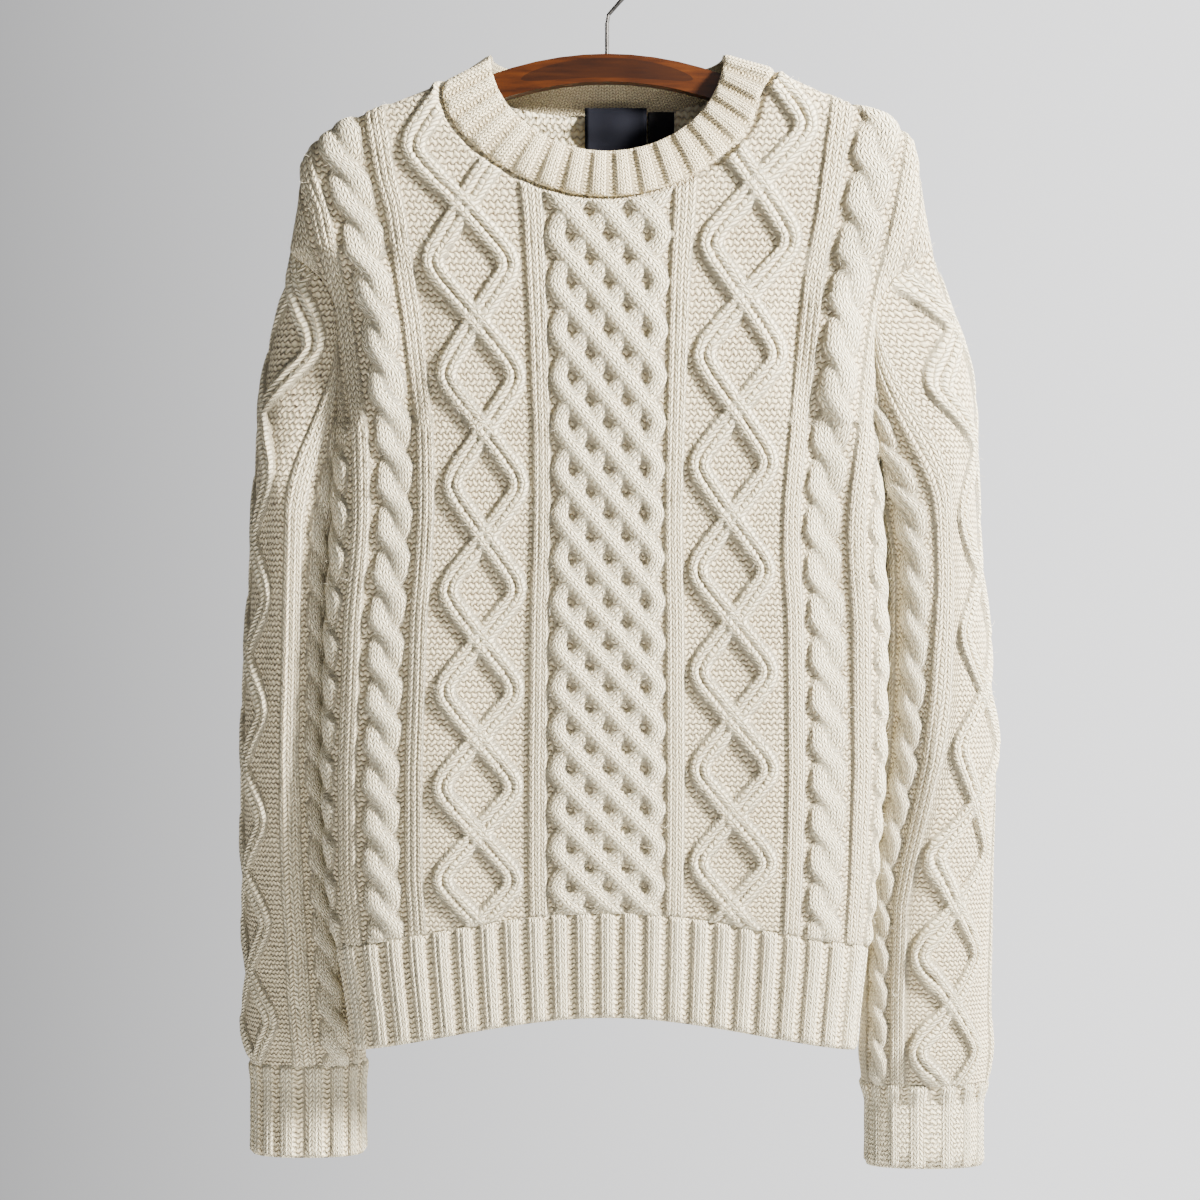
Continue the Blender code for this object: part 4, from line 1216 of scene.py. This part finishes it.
def makeFibres(source, count, seed):
    area = sum(face.area for face in source.data.polygons)
    carrier = bpy.data.objects.new(source.name + "Carrier", source.data.copy())
    bpy.context.scene.collection.objects.link(carrier)
    modifier = carrier.modifiers.new("fibres", "NODES")
    modifier.node_group = fibres
    modifier[fibreSockets["Density"]] = count / area
    modifier[fibreSockets["Seed"]] = seed
    modifier[fibreSockets["Length"]] = fibre["length"]
    modifier[fibreSockets["Thickness"]] = fibre["thickness"]
    modifier[fibreSockets["Look"]] = fibreLook
    bpy.context.view_layer.update()
    evaluated = carrier.evaluated_get(bpy.context.evaluated_depsgraph_get())
    data = bpy.data.meshes.new_from_object(evaluated)
    data.name = source.name + "Fibres"
    bpy.data.objects.remove(carrier)
    piece = bpy.data.objects.new(source.name + "Fibres", data)
    bpy.context.scene.collection.objects.link(piece)
    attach(piece, "root")
    data.calc_loop_triangles()
    print("fibres on", source.name, len(data.loop_triangles), "triangles")


for seed, (source, count) in enumerate(fibre["counts"].items(), fibre["firstSeed"]):
    makeFibres(bpy.data.objects[source], count, seed)


# Finishes of the solids that show as they are
def assign(node, material):
    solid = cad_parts[node]
    solid.data.materials.clear()
    solid.data.materials.append(material)


woodLook = {
    "grain": (9.0, 60.0, 90.0),
    "stops": [(0.25, (0.014, 0.003, 0.0005)), (0.55, (0.05, 0.012, 0.0012)), (0.85, (0.085, 0.024, 0.0025))],
    "ovalZ": -0.0854,
    "ovalBow": 2.1,
    "ovalHalf": (0.062, 0.0072),
    "ovalColour": (0.010, 0.003, 0.001),
    "ovalShare": 0.65,
    "roughness": 0.34,
    "varnish": 0.12,
    "specular": 0.35,
}


def woodMaterial(name):
    graph = newLook(name)
    place = graph.place()
    mapping = graph.node("ShaderNodeMapping", None, {"Vector": place, "Scale": woodLook["grain"]})
    grain = graph.noise(3.0, graph.out(mapping), 6.0)
    x, z = graph.parts(place, "XZ")
    # a darker oval on the hanger's middle, bowed as the hanger is
    halfX, halfZ = woodLook["ovalHalf"]
    bow = z - woodLook["ovalZ"] + x * x * woodLook["ovalBow"]
    inside = (x * (1.0 / halfX)) ** 2.0 + (bow * (1.0 / halfZ)) ** 2.0 < 1.0
    colour = graph.ramp(grain, woodLook["stops"])
    return graph.finish({
        "Base Color": graph.mix(inside * woodLook["ovalShare"], colour, woodLook["ovalColour"]),
        "Normal": graph.bump(grain, 0.25, 0.0006),
        "Roughness": woodLook["roughness"],
        "Coat Weight": woodLook["varnish"],
        "Specular IOR Level": woodLook["specular"],
    })


def wireMaterial(name):
    graph = newLook(name)
    wear = graph.noise(300.0, graph.place(), 4.0)
    return graph.finish({
        "Base Color": graph.mix(wear, (0.025, 0.024, 0.023), (0.09, 0.087, 0.085)),
        "Roughness": wear * 0.3 + 0.25,
        "Metallic": 1.0,
    })


assign("hanger", woodMaterial("varnishedWood"))
assign("hanger_hook", wireMaterial("dullWire"))

# Woven labels, bare, sewn by their top edge under the neckband: left, right, top and bottom, in millimetres
labels = {
    "neck_label": {"box": (-16.0, 29.0, -111.0, -148.0), "dark": (0.002, 0.0023, 0.005),
                   "light": (0.006, 0.007, 0.014)},
    "size_tab": {"box": (30.0, 49.0, -114.0, -138.0), "dark": (0.003, 0.003, 0.004),
                 "light": (0.009, 0.009, 0.011)},
}
labelCloth = {"columns": 14, "rows": 12, "thick": 0.7, "clear": 1.4, "hang": 1.2, "ripple": 0.4,
              "ripplePitch": 0.21, "lift": 3.6, "panelTop": -122.0, "hangFrom": -118.0, "hangOver": 30.0,
              "liftFrom": -138.0, "liftOver": 14.0, "threads": 9000.0, "roughness": 0.85, "specular": 0.15}


def labelMaterial(name, dark, light):
    graph = newLook(name)
    x, z = graph.parts(graph.place(), "XZ")
    threads = labelCloth["threads"]
    weave = (x * threads).sine() * (z * threads).sine() * 0.5 + 0.5
    return graph.finish({
        "Base Color": graph.mix(weave, dark, light),
        "Normal": graph.bump(weave, 0.6, 0.0002),
        "Roughness": labelCloth["roughness"],
        "Specular IOR Level": labelCloth["specular"],
    })


def labelFace(left, right, top, bottom):
    # hangs clear of the back panel's inside and lifts off it towards the seam
    across, down = np.meshgrid(np.linspace(left, right, labelCloth["columns"]),
                               np.linspace(bottom, top, labelCloth["rows"]))
    panel = bodySurface(across, np.minimum(down, labelCloth["panelTop"]), "back")[..., 1]
    inner = panel - body["wall"] - labelCloth["clear"]
    hang = labelCloth["hang"] * smoothStep((labelCloth["hangFrom"] - down) / labelCloth["hangOver"])
    hang = hang + labelCloth["ripple"] * np.sin(across * labelCloth["ripplePitch"])
    lift = labelCloth["lift"] * smoothStep((down - labelCloth["liftFrom"]) / labelCloth["liftOver"])
    return np.stack([across, inner - hang - lift, down], axis=-1)


def makeLabel(node, facts):
    left, right, top, bottom = facts["box"]
    face = labelFace(left, right, top, bottom)
    back = face + np.array([0.0, labelCloth["thick"], 0.0])
    rows, columns = face.shape[:2]
    count = rows * columns
    faces = list(gridFaces(rows, columns, 0, False)) + list(gridFaces(rows, columns, count, True))
    index = np.arange(count).reshape(rows, columns)
    for edge, flip in ((index[0], True), (index[-1], False), (index[:, 0], False), (index[:, -1], True)):
        for a, b in zip(edge[:-1], edge[1:]):
            quad = (a, b, b + count, a + count)
            faces.append(quad[::-1] if flip else quad)
    points = np.concatenate([face.reshape(-1, 3), back.reshape(-1, 3)]) * mm
    data = bpy.data.meshes.new(node + "Woven")
    data.from_pydata(points.tolist(), [], [tuple(int(v) for v in f) for f in faces])
    data.materials.append(labelMaterial(node + "Weave", facts["dark"], facts["light"]))
    data.shade_smooth()
    piece = bpy.data.objects.new(node + "Woven", data)
    bpy.context.scene.collection.objects.link(piece)
    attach(piece, "root")
    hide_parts(node)
    size = ((right - left) * mm, (top - bottom) * mm)
    size[0] * size[1]


for node, facts in labels.items():
    makeLabel(node, facts)
print("solids finished")

# Camera, light and floor, in metres
view = {"centre": (-0.005, -0.469), "distance": 1.5, "framed": 0.845, "plane": -0.04, "sensor": 36.0}
lightAim = (0.0, 0.0, -0.45)
lights = {
    "windowLight": {"place": (2.15, -0.9, 0.7), "size": 0.35, "power": 600.0, "tint": (1.0, 0.962, 0.895)},
    "roomLight": {"place": (0.7, -2.2, 0.8), "size": 1.4, "power": 3.0, "tint": (0.96, 0.98, 1.0)},
    "behindLight": {"place": (-0.9, 2.0, 0.8), "size": 0.7, "power": 60.0, "tint": (1.0, 0.99, 0.97)},
}
paleFloor = {"z": -1.55, "x": (-2.4, 2.4), "y": (-2.4, 2.0), "colour": (0.75, 0.75, 0.75, 1.0),
             "roughness": 0.9}
# How the air's light runs: from and to which direction, and how strong at each
air = {
    "colour": (0.79, 0.79, 0.80, 1.0),
    "behind": (-0.62, 0.5, 0.05, 3.0),
    "room": (-0.6, 0.6, 0.10, 0.52),
    "share": (-0.2, 0.5, 0.0, 1.0),
}


def makeCamera():
    data = bpy.data.cameras.new("camera")
    data.sensor_width = view["sensor"]
    data.lens = view["sensor"] * view["distance"] / view["framed"]
    camera = bpy.data.objects.new("camera", data)
    camera.location = (view["centre"][0], view["plane"] - view["distance"], view["centre"][1])
    camera.rotation_euler = (math.radians(90.0), 0.0, 0.0)
    bpy.context.scene.collection.objects.link(camera)
    bpy.context.scene.camera = camera


def makeLight(name, facts):
    data = bpy.data.lights.new(name, "AREA")
    data.size = facts["size"]
    data.energy = facts["power"]
    data.color = facts["tint"]
    light = bpy.data.objects.new(name, data)
    light.location = facts["place"]
    way = Vector(lightAim) - Vector(facts["place"])
    light.rotation_euler = way.to_track_quat("-Z", "Y").to_euler()
    bpy.context.scene.collection.objects.link(light)


def makeWorld(name):
    # pale behind the garment and lighter to the right; dimmer on the viewer's side
    world = bpy.data.worlds.new(name)
    bpy.context.scene.world = world
    graph = Graph(world, "Background")
    x, y = graph.parts(graph.place("Generated"), "XY")

    def scale(socket, name):
        sockets = dict(enumerate((socket,) + air[name]))
        return graph.out(graph.node("ShaderNodeMapRange", {"interpolation_type": "SMOOTHSTEP"}, sockets))

    sockets = {0: scale(y, "share"), 2: scale(x, "room"), 3: scale(x, "behind")}
    graph.finish({0: air["colour"], 1: graph.out(graph.node("ShaderNodeMix", None, sockets))})


def makeFloor(name):
    z = paleFloor["z"]
    left, right = paleFloor["x"]
    near, far = paleFloor["y"]
    data = bpy.data.meshes.new(name)
    corners = [(left, near, z), (right, near, z), (right, far, z), (left, far, z)]
    data.from_pydata(corners, [], [(0, 1, 2, 3)])
    floor = bpy.data.objects.new(name, data)
    bpy.context.scene.collection.objects.link(floor)
    finish = {"Base Color": paleFloor["colour"], "Roughness": paleFloor["roughness"]}
    data.materials.append(newLook("paleFloor").finish(finish))


makeCamera()
for name, facts in lights.items():
    makeLight(name, facts)
makeWorld("paleRoom")
makeFloor("floor")
print("camera and lights set")
